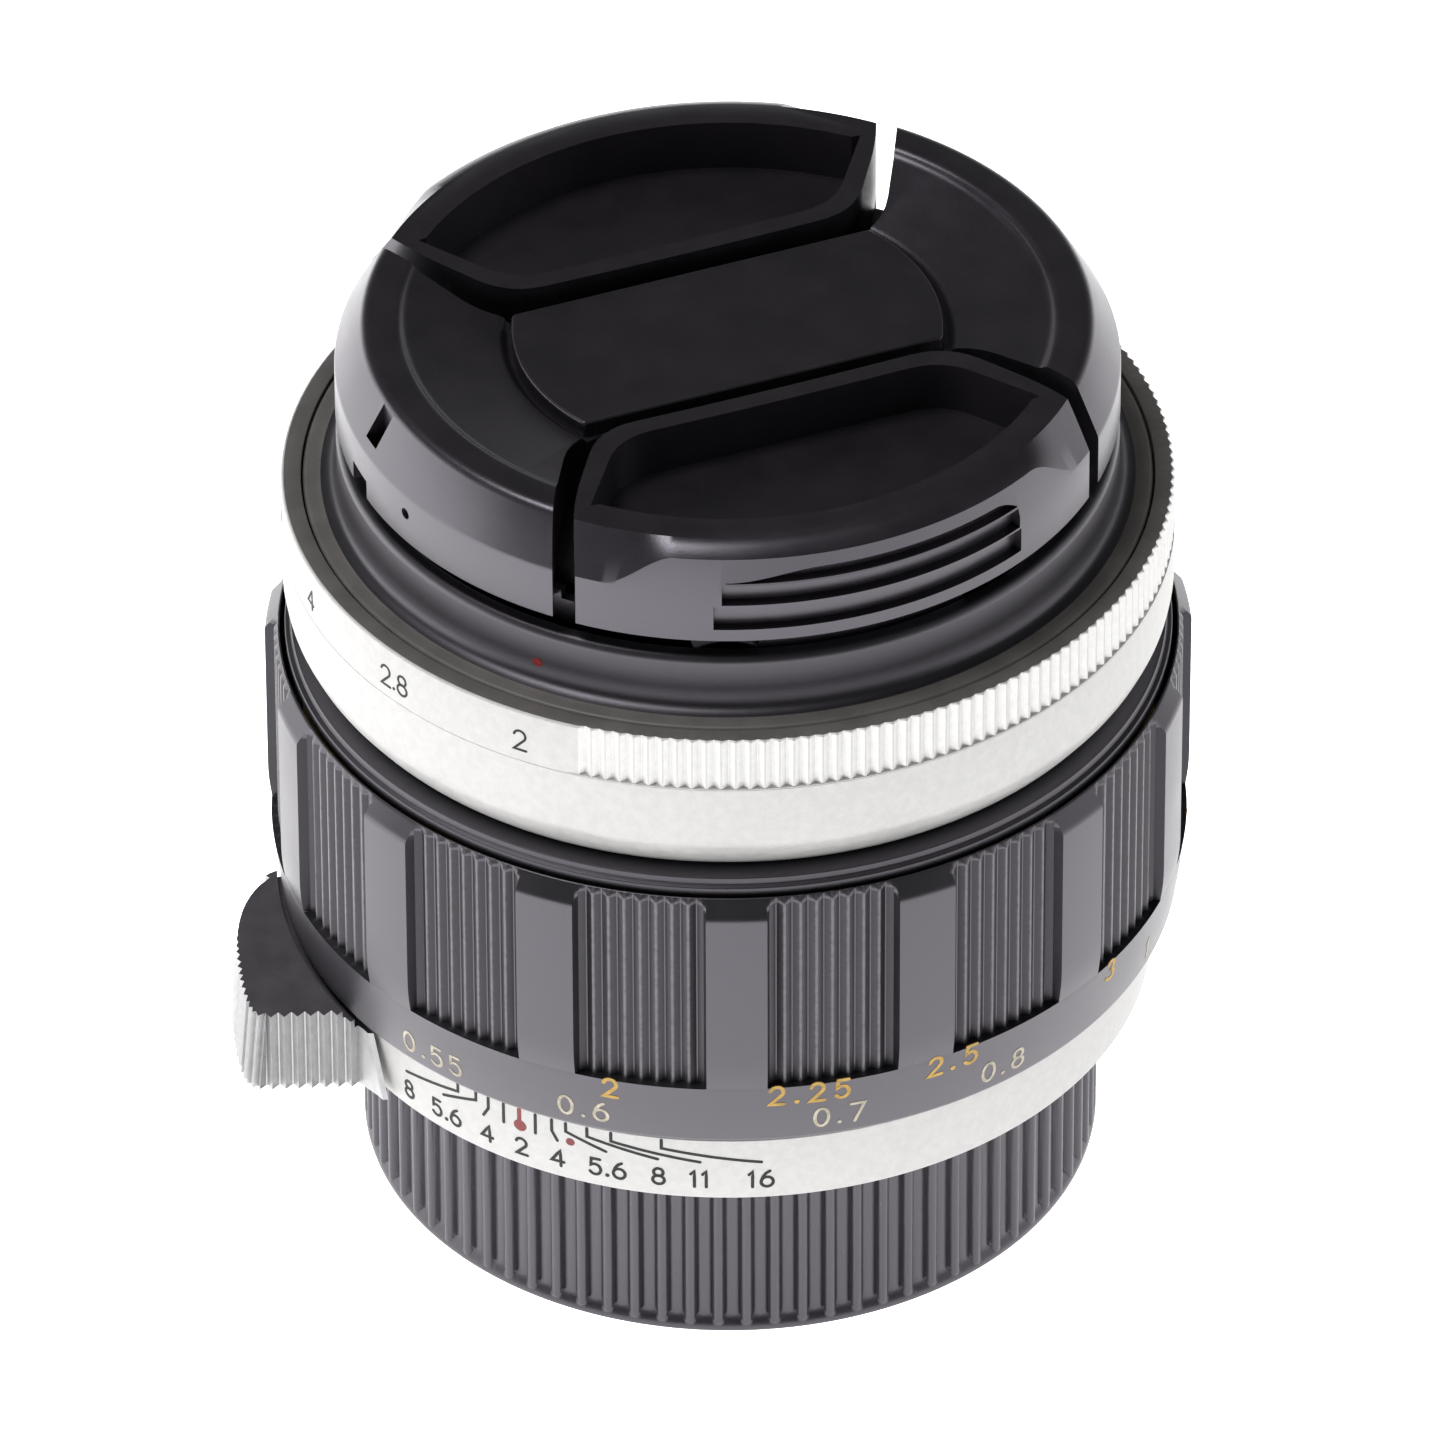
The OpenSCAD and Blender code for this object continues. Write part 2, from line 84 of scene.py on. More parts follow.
def rounded(points, radius, steps=3, closed=False):
    """The outline with each corner rounded. radius is one number, or one per corner."""
    out = []
    count = len(points)
    for i, (x, y) in enumerate(points):
        r = radius[i] if isinstance(radius, (list, tuple)) else radius
        if r <= 0 or (not closed and i in (0, count - 1)):
            out.append((x, y))
            continue
        ends = []
        for j in (i - 1, (i + 1) % count):
            dx, dy = points[j][0] - x, points[j][1] - y
            length = hypot(dx, dy)
            cut = min(r, 0.45 * length)
            ends.append((x + dx / length * cut, y + dy / length * cut))
        (ax, ay), (bx, by) = ends
        for k in range(steps + 1):
            t = k / steps
            a, b, c = (1 - t) ** 2, 2 * t * (1 - t), t * t
            out.append((a * ax + b * x + c * bx, a * ay + b * y + c * by))
    return out


def add_object(name, data):
    """A new object in the scene."""
    thing = bpy.data.objects.new(name, data)
    SCENE.collection.objects.link(thing)
    return thing


def add_piece(name, verts, faces, mats=(), body=None, sharp=32, wear_and_highlight=None):
    """Links a closed mesh, given in millimetres, and lets it ride on a body."""
    mesh = bpy.data.meshes.new(name)
    mesh.from_pydata([(x * MM, y * MM, z * MM) for x, y, z in verts], [], faces)
    # the attribute lightens the tooth tips: partly wear, partly a painted highlight
    if wear_and_highlight is not None:
        layer = mesh.attributes.new("wear_and_highlight", "FLOAT", "POINT")
        layer.data.foreach_set("value", wear_and_highlight)
    bm = bmesh.new()
    bm.from_mesh(mesh)
    bmesh.ops.recalc_face_normals(bm, faces=bm.faces)
    bm.to_mesh(mesh)
    bm.free()
    for mat in mats:
        mesh.materials.append(mat)
    finish_shading(mesh, sharp)
    piece = add_object(name, mesh)
    if body:
        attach(piece, body)
    return piece


def paint_faces(piece, pick):
    """Gives each face the material that pick(radius, centre, normal) numbers."""
    for face in piece.data.polygons:
        at = face.center / MM
        face.material_index = int(pick(hypot(at.x, at.y), at, face.normal))


def finish_shading(mesh, sharp):
    """Smooth shading, broken at edges sharper than an angle."""
    mesh.shade_smooth()
    mesh.set_sharp_from_angle(angle=radians(sharp))


def turned(name, section, mats=(), body=None, turns=None, sharp=32, wear_and_highlight=None):
    """A turned solid. section is a list of (radius, height), or gives one for each turn."""
    turns = turns or [i * 1.5 for i in range(240)]
    at = section if callable(section) else (lambda turn: section)
    rings = [at(turn) for turn in turns]
    rows = len(rings[0])
    on_axis = [all(ring[k][0] < 1e-6 for ring in rings) for k in range(rows)]
    verts, first, worn_and_highlit = [], [], []
    for k in range(rows):
        first.append(len(verts))
        for ring, turn in zip(rings, turns):
            r, z = ring[k]
            verts.append((*polar(r, turn), z))
            worn_and_highlit.append(wear_and_highlight(r, z, turn) if wear_and_highlight else 0.0)
            if on_axis[k]:
                break
    faces = []
    count = len(turns)
    for k in range(rows):
        m = (k + 1) % rows
        if on_axis[k] and on_axis[m]:
            continue
        for i in range(count):
            j = (i + 1) % count
            if on_axis[k]:
                faces.append((first[k], first[m] + j, first[m] + i))
            elif on_axis[m]:
                faces.append((first[k] + i, first[k] + j, first[m]))
            else:
                faces.append((first[k] + i, first[k] + j, first[m] + j, first[m] + i))
    return add_piece(name, verts, faces, mats, body, sharp, worn_and_highlit if wear_and_highlight else None)


def flanks(count):
    """Faces between two outlines of count points each."""
    return [(i, (i + 1) % count, count + (i + 1) % count, count + i) for i in range(count)]


def prism(name, outline, z0, z1, mats=(), body=None):
    """An outline in plan, drawn up from z0 to z1."""
    count = len(outline)
    verts = [(x, y, z) for z in (z0, z1) for x, y in outline]
    faces = [tuple(range(count))[::-1], tuple(range(count, 2 * count))] + flanks(count)
    return add_piece(name, verts, faces, mats, body)


def sector(name, r0, r1, z0, z1, start, end, steps=24):
    """Part of a tube between two turns."""
    turns = [start + (end - start) * i / steps for i in range(steps + 1)]
    outline = [polar(r1, t) for t in turns] + [polar(r0, t) for t in reversed(turns)]
    return prism(name, outline, z0, z1)


def radial_rod(name, r, start, end, turn, z):
    """A round rod that lies along a radius, used as a cutter."""
    verts, count = [], 24
    for along in (start, end):
        for i in range(count):
            side, up = polar(r, i * 360 / count)
            verts.append((*spun([(along, side)], turn)[0], z + up))
    faces = [tuple(range(count)), tuple(range(count, 2 * count))[::-1]] + flanks(count)
    return add_piece(name, verts, faces)


def shift(x, y, z):
    return Matrix.Translation((x * MM, y * MM, z * MM))


CUT, ADD, KEEP = "DIFFERENCE", "UNION", "INTERSECT"   # what a cutter does to a piece


def carve(piece, *cuts):
    """Applies (operation, cutter) pairs to a piece, and removes the cutters."""
    for operation, cutter in cuts:
        step = piece.modifiers.new("carve", "BOOLEAN")
        step.solver = "EXACT"
        step.operation = operation
        step.object = cutter
    bpy.context.view_layer.update()
    carved = bpy.data.meshes.new_from_object(
        piece.evaluated_get(bpy.context.evaluated_depsgraph_get()))
    piece.modifiers.clear()
    piece.data = carved
    for _, cutter in cuts:
        bpy.data.objects.remove(cutter)


def soften(piece, width, angle=35, sharp=30):
    """Rounds edges sharper than an angle by a width in millimetres."""
    weld, flat = 0.004 * MM, radians(0.2)
    bm = bmesh.new()
    bm.from_mesh(piece.data)
    bmesh.ops.remove_doubles(bm, verts=bm.verts, dist=weld)
    bmesh.ops.dissolve_limit(bm, angle_limit=flat, verts=bm.verts, edges=bm.edges)
    bm.to_mesh(piece.data)
    bm.free()
    finish_shading(piece.data, sharp)
    bevel = piece.modifiers.new("soft edges", "BEVEL")
    bevel.width = width * MM
    bevel.segments = 3
    bevel.limit_method = "ANGLE"
    bevel.angle_limit = radians(angle)
    bevel.use_clamp_overlap = True
    bevel.harden_normals = True


def spun(outline, turn):
    """A plan outline turned about the axis."""
    c, s = cos(radians(turn)), sin(radians(turn))
    return [(c * x - s * y, s * x + c * y) for x, y in outline]


def mix(a, b, t):
    return a + (b - a) * t


def between(a, b, t):
    return mix(a[0], b[0], t), mix(a[1], b[1], t)


def smoothstep(a, b, x):
    t = min(max((x - a) / (b - a), 0.0), 1.0)
    return t * t * (3 - 2 * t)


def turn_off(turn, centre):
    """How far a turn lies from a centre, from -180 to 180."""
    return (turn - centre + 180) % 360 - 180


# ---- materials ----

def new_material(name):
    mat = bpy.data.materials.new(name)
    mat.use_nodes = True
    shader = mat.node_tree.nodes["Principled BSDF"]
    return mat, mat.node_tree, shader


def set_inputs(node, values):
    for name, value in values.items():
        node.inputs[name].default_value = value


def noise(tree, size, detail, rough=0.55):
    """Noise with features about size millimetres across, fixed to the object."""
    where = tree.nodes.new("ShaderNodeTexCoord")
    node = tree.nodes.new("ShaderNodeTexNoise")
    set_inputs(node, {"Scale": 1 / (size * MM), "Detail": detail, "Roughness": rough})
    tree.links.new(where.outputs["Object"], node.inputs["Vector"])
    return node.outputs["Fac"]


def coordinate(tree, kind, axis):
    """One axis of a texture coordinate."""
    where = tree.nodes.new("ShaderNodeTexCoord")
    split = tree.nodes.new("ShaderNodeSeparateXYZ")
    tree.links.new(where.outputs[kind], split.inputs["Vector"])
    return split.outputs[axis]


def ramp(tree, value, stops):
    """A colour ramp over a value. stops are (position, grey or colour)."""
    node = tree.nodes.new("ShaderNodeValToRGB")
    elements = node.color_ramp.elements
    while len(elements) < len(stops):
        elements.new(0.5)
    for element, (position, colour) in zip(elements, stops):
        element.position = position
        element.color = (*colour, 1) if isinstance(colour, tuple) else (colour,) * 3 + (1,)
    tree.links.new(value, node.inputs["Fac"])
    return node.outputs["Color"]


def blend_colour(tree, factor, a, b):
    """Mixes two colours. Each input is a socket, a number or a colour."""
    node = tree.nodes.new("ShaderNodeMix")
    node.data_type = "RGBA"
    for name, value in (("Factor", factor), ("A", a), ("B", b)):
        socket = node.inputs[name]
        if isinstance(value, bpy.types.NodeSocket):
            tree.links.new(value, socket)
        else:
            socket.default_value = (*value, 1) if isinstance(value, tuple) else value
    return node.outputs["Result"]


def bump(tree, shader, height, depth):
    """Bump from a height, depth millimetres deep."""
    node = tree.nodes.new("ShaderNodeBump")
    set_inputs(node, {"Strength": 0.5, "Distance": depth * MM})
    tree.links.new(height, node.inputs["Height"])
    tree.links.new(node.outputs["Normal"], shader.inputs["Normal"])


def finish(name, dark, light, grain, rough, metallic=0.0, patch=3.0, relief=0.02,
           specular=0.5, speck=None, worn_and_highlit=None, hue=(1.0, 1.0, 1.0)):
    """A surface whose colour wanders between two, with fine grain in its relief and gloss.

    grain and patch are the sizes in millimetres of its relief and its colour, rough the two
    ends of its roughness, speck the size of rare grey specks, worn_and_highlit the colour where a
    mesh's "wear_and_highlight" is 1, which is tip wear mixed with a painted highlight, and hue
    the tint of the reflection.
    """
    mat, tree, shader = new_material(name)
    broad = noise(tree, patch, 4)
    fine = noise(tree, grain, 2)
    colour = ramp(tree, broad, [(0.35, dark), (0.68, light)])
    colour = blend_colour(tree, 0.35, colour, ramp(tree, fine, [(0.3, dark), (0.7, light)]))
    if speck:
        spots = ramp(tree, noise(tree, speck, 1), [(0.78, 0.0), (0.84, 1.0)])
        colour = blend_colour(tree, spots, colour, (0.10, 0.10, 0.10))
    # a lighter colour where the attribute is high: wear on the tooth tips mixed with a painted
    # highlight
    if worn_and_highlit:
        layer = tree.nodes.new("ShaderNodeAttribute")
        layer.attribute_name = "wear_and_highlight"
        rubbed_and_highlit = tree.nodes.new("ShaderNodeMath")
        rubbed_and_highlit.operation = "MULTIPLY"
        tree.links.new(layer.outputs["Fac"], rubbed_and_highlit.inputs[0])
        tree.links.new(ramp(tree, noise(tree, 0.5, 4, 0.6), [(0.30, 0.35), (0.62, 1.0)]),
                       rubbed_and_highlit.inputs[1])
        colour = blend_colour(tree, rubbed_and_highlit.outputs["Value"], colour, worn_and_highlit)
    tree.links.new(colour, shader.inputs["Base Color"])
    tree.links.new(ramp(tree, blend_colour(tree, 0.5, broad, fine),
                        [(0.3, rough[0]), (0.7, rough[1])]), shader.inputs["Roughness"])
    set_inputs(shader, {"Metallic": metallic, "Specular IOR Level": specular,
                        "Specular Tint": (*hue, 1.0)})
    bump(tree, shader, fine, relief)
    return mat


def glass(name, tint):
    """Coated glass: clear, with a faint tint that changes towards the rim."""
    mat, tree, shader = new_material(name)
    facing = tree.nodes.new("ShaderNodeLayerWeight")
    set_inputs(facing, {"Blend": 0.35})
    hue = ramp(tree, facing.outputs["Facing"], [(0.0, (0.97, 0.98, 0.99)), (1.0, tint)])
    hue = blend_colour(tree, 0.06, hue, ramp(tree, noise(tree, 9, 2), [(0.3, 0.9), (0.7, 1.0)]))
    tree.links.new(hue, shader.inputs["Base Color"])
    set_inputs(shader, {"Roughness": 0.02, "Transmission Weight": 1.0, "IOR": 1.52,
                        "Coat Weight": 0.2})
    return mat


VIOLET = (0.94, 0.88, 1.0)   # the blacks reflect a little violet
CAP_BLACK = finish(
    "cap_plastic", (0.009, 0.008, 0.010), (0.015, 0.013, 0.016), 0.14, (0.29, 0.37), relief=0.012,
    specular=1.0, hue=VIOLET)
REAR_BLACK = finish(
    "rear_cap_plastic", (0.011, 0.010, 0.012), (0.018, 0.016, 0.019), 0.22, (0.30, 0.42),
    patch=4.0, specular=0.8, speck=0.35, hue=VIOLET)
SATIN = finish(
    "satin_aluminium", (0.41, 0.405, 0.40), (0.48, 0.475, 0.465), 0.12, (0.43, 0.52),
    metallic=0.42, patch=0.7, relief=0.035)
# a lighter, less metallic copy of the satin aluminium for the knurl flanks: painted light that
# whitens them
KNURL_PAINTED_LIGHT = finish(
    "satin_aluminium_knurl_painted_light", (0.60, 0.595, 0.585), (0.70, 0.69, 0.675), 0.12, (0.43, 0.52),
    metallic=0.3, patch=0.5)
LEVER_SATIN = finish(
    "satin_aluminium_lever", (0.37, 0.37, 0.375), (0.48, 0.475, 0.48), 0.12, (0.40, 0.52),
    metallic=0.6, patch=0.8, relief=0.03)
LEVER_BLACK = finish(
    "lever_black", (0.065, 0.06, 0.067), (0.10, 0.093, 0.103), 0.13, (0.42, 0.55), patch=2.0,
    hue=VIOLET)
# the worn colours of this finish and the next lighten the tooth tips: partly wear, partly painted
# highlight
ANODISED = finish(
    "black_anodised", (0.010, 0.010, 0.011), (0.016, 0.015, 0.018), 0.12, (0.30, 0.40), patch=7.0,
    relief=0.010, specular=0.9, speck=0.16, worn_and_highlit=(0.07, 0.068, 0.07), hue=VIOLET)
# a darker, less shiny copy of the black anodising for the tooth flanks: painted shade for the
# valleys between the teeth
TEETH_PAINTED_SHADE = finish(
    "black_anodised_teeth_painted_shade", (0.006, 0.006, 0.007), (0.012, 0.011, 0.013), 0.12, (0.34, 0.46),
    patch=5.0, relief=0.010, specular=0.42, speck=0.2, worn_and_highlit=(0.12, 0.115, 0.12), hue=VIOLET)
GLOSS = finish(
    "gloss_black_metal", (0.007, 0.007, 0.008), (0.012, 0.011, 0.013), 0.2, (0.36, 0.44),
    patch=5.0, relief=0.006, specular=0.9, hue=VIOLET)
INNER_BLACK = finish(
    "matt_black_metal", (0.010, 0.010, 0.011), (0.018, 0.018, 0.019), 0.15, (0.5, 0.65), patch=4.0,
    specular=0.35)
GREY = finish(
    "grey_alloy", (0.30, 0.30, 0.31), (0.42, 0.42, 0.43), 0.15, (0.34, 0.48), metallic=1.0,
    relief=0.01)
OLIVE = finish(
    "grey_brown_alloy", (0.115, 0.108, 0.102), (0.165, 0.155, 0.147), 0.2, (0.4, 0.55),
    relief=0.012)
BRASS = finish(
    "brass", (0.62, 0.44, 0.16), (0.78, 0.58, 0.26), 0.2, (0.26, 0.40), metallic=1.0, relief=0.01)
STEEL = finish(
    "steel", (0.52, 0.52, 0.53), (0.66, 0.66, 0.67), 0.12, (0.22, 0.34), metallic=1.0, patch=2.0,
    relief=0.008)
BLADE = finish(
    "blade_steel", (0.045, 0.05, 0.065), (0.09, 0.095, 0.12), 0.25, (0.25, 0.42), metallic=0.9,
    patch=2.5, relief=0.006)
FRONT_GLASS = glass("coated_glass", (0.62, 0.50, 0.72))
REAR_GLASS = glass("coated_glass_amber", (0.80, 0.66, 0.44))
BLACK_PAINT = finish(
    "black_fill", (0.006, 0.006, 0.007), (0.014, 0.013, 0.014), 0.1, (0.5, 0.65), patch=0.5,
    relief=0.01, specular=0.3)
CREAM_PAINT = finish(
    "cream_fill", (0.24, 0.21, 0.15), (0.56, 0.51, 0.41), 0.15, (0.5, 0.65), patch=0.7,
    specular=0.3)
YELLOW_PAINT = finish(
    "yellow_fill", (0.26, 0.16, 0.03), (0.54, 0.34, 0.08), 0.15, (0.5, 0.65), patch=0.7,
    specular=0.3)
RED_PAINT = finish(
    "red_fill", (0.13, 0.006, 0.007), (0.24, 0.014, 0.012), 0.12, (0.35, 0.5), patch=0.6,
    relief=0.015, specular=0.4)


# ---- rear cap ----

def rear_cap():
    """Screw-on plastic cap with narrow round-topped ribs that stop just above its foot."""
    wall_r, rib_r, rib_centre, rib_low = 24.45, 0.39, 24.48, 0.72
    foot_r, ribs, first = 24.85, 82, 0.2
    bore_r, floor_z, top_z = 21.65, 1.6, REAR_CAP_TOP
    pitch = 360 / ribs
    half = degrees(rib_r / wall_r)
    groove, fade, groove_z = 0.12, (rib_r + 0.22, rib_r + 0.06), 1.2
    across = [half * sin(radians(a)) for a in (-90, -62, -40, -20, 0, 20, 40, 62, 90)]
    across = [-half - 0.55, -half - 0.16] + across + [half + 0.16, half + 0.55]
    turns = [first + i * pitch + a for i in range(ribs) for a in across + [pitch / 2]]
    foot = rounded(
        [(0, 0), (17.5, 0), (17.5, 0.3), (18.1, 0.3), (18.1, 0), (foot_r, 0), (foot_r, 0.35)],
        [0, 0.1, 0.1, 0.1, 0.1, 0.2, 0])
    side = [(mix(foot_r, wall_r, smoothstep(0.3, 1.25, z)), z)
            for z in (0.45, 0.53, 0.61, 0.7, 0.8, 0.9, 1.0, 1.1, 1.25, 1.6, 2.4)]
    rim = [(wall_r, top_z - drop) for drop in (0.25, 0.18, 0.1)]
    rim.append((wall_r - 0.12, top_z))
    bore = rounded(
        [(bore_r + 0.3, top_z), (bore_r, top_z - 0.3), (bore_r, floor_z), (0, floor_z)], 0.15)
    section = foot + side + rim + bore
    outside = len(section) - len(bore)

    def at(turn):
        away = wall_r * radians(turn_off(turn, first + round((turn - first) / pitch) * pitch))
        out = []
        for i, (r, z) in enumerate(section):
            reach = rib_r ** 2 - away ** 2 - max(0.0, rib_low - z) ** 2
            if i < outside and 0.4 < z < top_z - 0.2:
                if reach >= -1e-9:
                    rise = rib_centre + sqrt(max(reach, 0.0))
                    r = max(r, rise - max(0.0, wall_r - r))
                elif z > groove_z:
                    r -= groove * smoothstep(*fade, abs(away))
            out.append((r, z))
        return out

    piece = turned("rear_cap_ribbed", at, [REAR_BLACK], "rear_cap", turns, sharp=50)
    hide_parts("rear_cap")


# ---- mount ----

def zigzag(r0, r1, z0, z1, pitch):
    """Section of a screw thread cut between two radii."""
    count = round(abs(z1 - z0) / pitch)
    step = (z1 - z0) / count
    out = []
    for i in range(count):
        out += [(r0, z0 + i * step), (r1, z0 + (i + 0.45) * step), (r1, z0 + (i + 0.55) * step)]
    return out + [(r0, z1)]


def screw_mount():
    """Mount flange and its 42 mm thread, with the pin's boss and three screw holes."""
    bore, wall_r, thread_r, flange_r, flange_h = 15.0, 19.3, 21.0, 27.6, 1.9
    pin_at, screw_at, root_r = 17.9, 22.9, 20.4
    thread_z, flange_z = THREAD_Z, SCALE_RING_Z
    section = rounded([(bore, flange_z), (wall_r, flange_z), (wall_r, thread_z)], 0.1)
    section += zigzag(thread_r - 0.55, thread_r, thread_z, flange_z - 0.5, 1.0)
    section += [(root_r, flange_z)]
    section += rounded(
        [(root_r, flange_z), (flange_r, flange_z), (flange_r, flange_z + flange_h),
         (bore, flange_z + flange_h)], 0.12)[1:]
    piece = turned("mount_flange_and_thread", section, [STEEL], "mount_body")
    boss = turned(
        "boss", [(0, flange_z - 1.6), (1.4, flange_z - 1.6), (1.5, flange_z - 1.5),
                 (1.5, flange_z + 0.2), (0, flange_z + 0.2)], turns=[i * 10 for i in range(36)])
    boss.data.transform(shift(0, pin_at, 0))
    cuts = [(ADD, boss)]
    holes = [(0, pin_at, 0.96, flange_z - 3, flange_z + 4)]
    for i in range(3):
        x, y = polar(screw_at, 30 + 120 * i)
        holes += [(x, y, 0.85, flange_z - 1, flange_z + 4),
                  (x, y, 1.55, flange_z - 1, flange_z + 0.9)]
    for x, y, r, z0, z1 in holes:
        hole = prism("hole", [polar(r, a * 10) for a in range(36)], z0, z1)
        hole.data.transform(shift(x, y, 0))
        cuts.append((CUT, hole))
    carve(piece, *cuts)
    finish_shading(piece.data, 30)
    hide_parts("screw_mount")


# ---- marks: engraved and filled numerals, lines and dots ----

def arc(cx, cy, rx, ry, start, end, steps=14):
    return [(cx + rx * cos(radians(start + (end - start) * i / steps)),
             cy + ry * sin(radians(start + (end - start) * i / steps)))
            for i in range(steps + 1)]


# Strokes of each numeral in a box 0.62 wide and 1 high.
NUMERALS = {
    "0": [arc(0.31, 0.5, 0.29, 0.5, 90, 450, 24)],
    "1": [[(0.14, 0.80), (0.31, 1.0), (0.31, 0.0)]],
    "2": [arc(0.31, 0.72, 0.27, 0.28, 168, -38) + [(0.03, 0.0), (0.61, 0.0)]],
    "3": [arc(0.29, 0.76, 0.23, 0.24, 150, -88), arc(0.29, 0.26, 0.28, 0.26, 88, -150)],
    "4": [[(0.46, 0.0), (0.46, 1.0), (0.0, 0.28), (0.62, 0.28)]],
    "5": [[(0.55, 1.0), (0.13, 1.0), (0.08, 0.56)] + arc(0.29, 0.33, 0.29, 0.33, 128, -148)],
    "6": [arc(0.31, 0.31, 0.29, 0.31, 150, 510, 24),
          [(0.045, 0.42), (0.12, 0.66), (0.26, 0.87), (0.44, 1.0)]],
    "7": [[(0.02, 1.0), (0.60, 1.0), (0.20, 0.0)]],
    "8": [arc(0.31, 0.76, 0.23, 0.24, 90, 450, 20), arc(0.31, 0.27, 0.28, 0.27, 90, 450, 22)],
}


def layout(text, height, gap):
    """Strokes and dots of a number, centred on 0, in millimetres. gap lies between glyphs."""
    widths = [{".": 0.16, "1": 0.36}.get(char, 0.62) * height for char in text]
    x = -(sum(widths) + gap * (len(text) - 1)) / 2
    strokes, dots = [], []
    for char, width in zip(text, widths):
        if char == ".":
            dots.append((x + width / 2, -0.42 * height))
        else:
            inset = 0.13 * height if char == "1" else 0
            strokes += [[(x - inset + u * height, (v - 0.5) * height) for u, v in stroke]
                        for stroke in NUMERALS[char]]
        x += width + gap
    return strokes, dots


class Marks:
    """Gathers strokes and dots wrapped on a turned surface, as (azimuth, height) shapes."""

    def __init__(self, radius_at, width, proud=0.025):
        self.radius_at, self.width, self.proud, self.deep = radius_at, width, proud, 0.06
        self.verts, self.faces = [], []

    def _wrap(self, u, z, azimuth, lift):
        r = self.radius_at(z)
        return (*polar(r + lift, azimuth + degrees(u / r) - 90), z)

    def _plate(self, outline, azimuth, z0):
        """A thin plate of quads between two rails: outline is a list of (left, right)."""
        first = len(self.verts)
        for left, right in outline:
            for (u, v), lift in ((left, self.proud), (right, self.proud), (right, -self.deep),
                                 (left, -self.deep)):
                self.verts.append(self._wrap(u, z0 + v, azimuth, lift))
        for i in range(len(outline) - 1):
            a, b = first + 4 * i, first + 4 * (i + 1)
            self.faces += [(a + k, a + (k + 1) % 4, b + (k + 1) % 4, b + k) for k in range(4)]
        last = first + 4 * (len(outline) - 1)
        self.faces += [(first, first + 3, first + 2, first + 1),
                       (last, last + 1, last + 2, last + 3)]

    def stroke(self, points, azimuth=0.0, z=0.0):
        """A line of even width with round ends, through points (u, v) in millimetres."""
        half, sharpest = self.width / 2, 0.8   # sharpest keeps a tight bend from spiking
        points = divided(points, 0.5)
        last = len(points) - 1
        closed = dist(points[0], points[last]) < 1e-6
        rails = []
        for i, (x, y) in enumerate(points):
            before, after = points[max(i - 1, 0)], points[min(i + 1, last)]
            if closed and i in (0, last):
                before, after = points[-2], points[1]
            n1 = normal(before, (x, y)) if before != (x, y) else normal((x, y), after)
            n2 = normal((x, y), after) if after != (x, y) else n1
            nx, ny = n1[0] + n2[0], n1[1] + n2[1]
            size = max(nx * nx + ny * ny, sharpest)
            nx, ny = 2 * nx / size, 2 * ny / size
            rails.append(((x + nx * half, y + ny * half), (x - nx * half, y - ny * half)))
        self._plate(rails, azimuth, z)
        if not closed:
            for x, y in (points[0], points[last]):
                self.dot(x, y, self.width, azimuth, z, 10)

    def dot(self, u, v, size, azimuth=0.0, z=0.0, steps=18):
        """A round dot of a given diameter."""
        half = size / 2
        rails = []
        for i in range(steps // 2 + 1):
            a = pi * i / (steps // 2)
            x, y = -half * cos(a), max(half * sin(a), half * 0.03)
            rails.append(((u + x, v + y), (u + x, v - y)))
        self._plate(rails, azimuth, z)

    def number(self, text, azimuth, z, height, gap):
        strokes, dots = layout(text, height, gap)
        for points in strokes:
            self.stroke(points, azimuth, z)
        for u, v in dots:
            self.dot(u, v, self.width * 1.35, azimuth, z)

    def line(self, points):
        """A line through (azimuth, height) points."""
        r = self.radius_at(points[0][1])
        self.stroke([(radians(a) * r, z) for a, z in points])

    def build(self, name, mat, body):
        piece = add_piece(name, self.verts, self.faces, [mat], body, sharp=40)


def divided(points, step):
    """The same line with extra points, so that it bends with the surface under it."""
    out = [points[0]]
    for a, b in zip(points, points[1:]):
        count = max(1, ceil(dist(a, b) / step))
        out += [between(a, b, k / count) for k in range(1, count + 1)]
    return out


def normal(a, b):
    dx, dy = b[0] - a[0], b[1] - a[1]
    length = hypot(dx, dy) or 1.0
    return -dy / length, dx / length


# ---- depth scale ring ----

def scale_radius(z):
    """Radius of the slightly conical depth scale ring."""
    return mix(28.4, 28.8, (z - SCALE_RING_Z - 0.15) / (SCALE_RING_TOP - SCALE_RING_Z - 0.15))


def depth_scale_ring():
    """Ring that carries the depth scale, with the lever's slot and three screw holes."""
    inner, z0, z1 = 27.65, SCALE_RING_Z, SCALE_RING_TOP
    slot_low, slot_high, slot_turns, screw_turns = 2.2, 3.8, (166, 206), (15, 80, 145)
    section = rounded(
        [(inner, z0), (28.25, z0), (28.4, z0 + 0.15), (28.8, z1), (inner, z1)],
        [0.05, 0.1, 0.1, 0.12, 0.05], closed=True)
    piece = turned("depth_ring_satin", section, [SATIN], "mount_body")
    cuts = [(CUT, sector("lever_slot", 27, 30, z0 + slot_low, z0 + slot_high, *slot_turns))]
    for turn in screw_turns:
        cuts.append((CUT, radial_rod("screw_hole", 0.75, 26, 30, turn, z0 + 1)))
    carve(piece, *cuts)
    soften(piece, 0.05)
    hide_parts("depth_scale_ring")
    depth_scale()


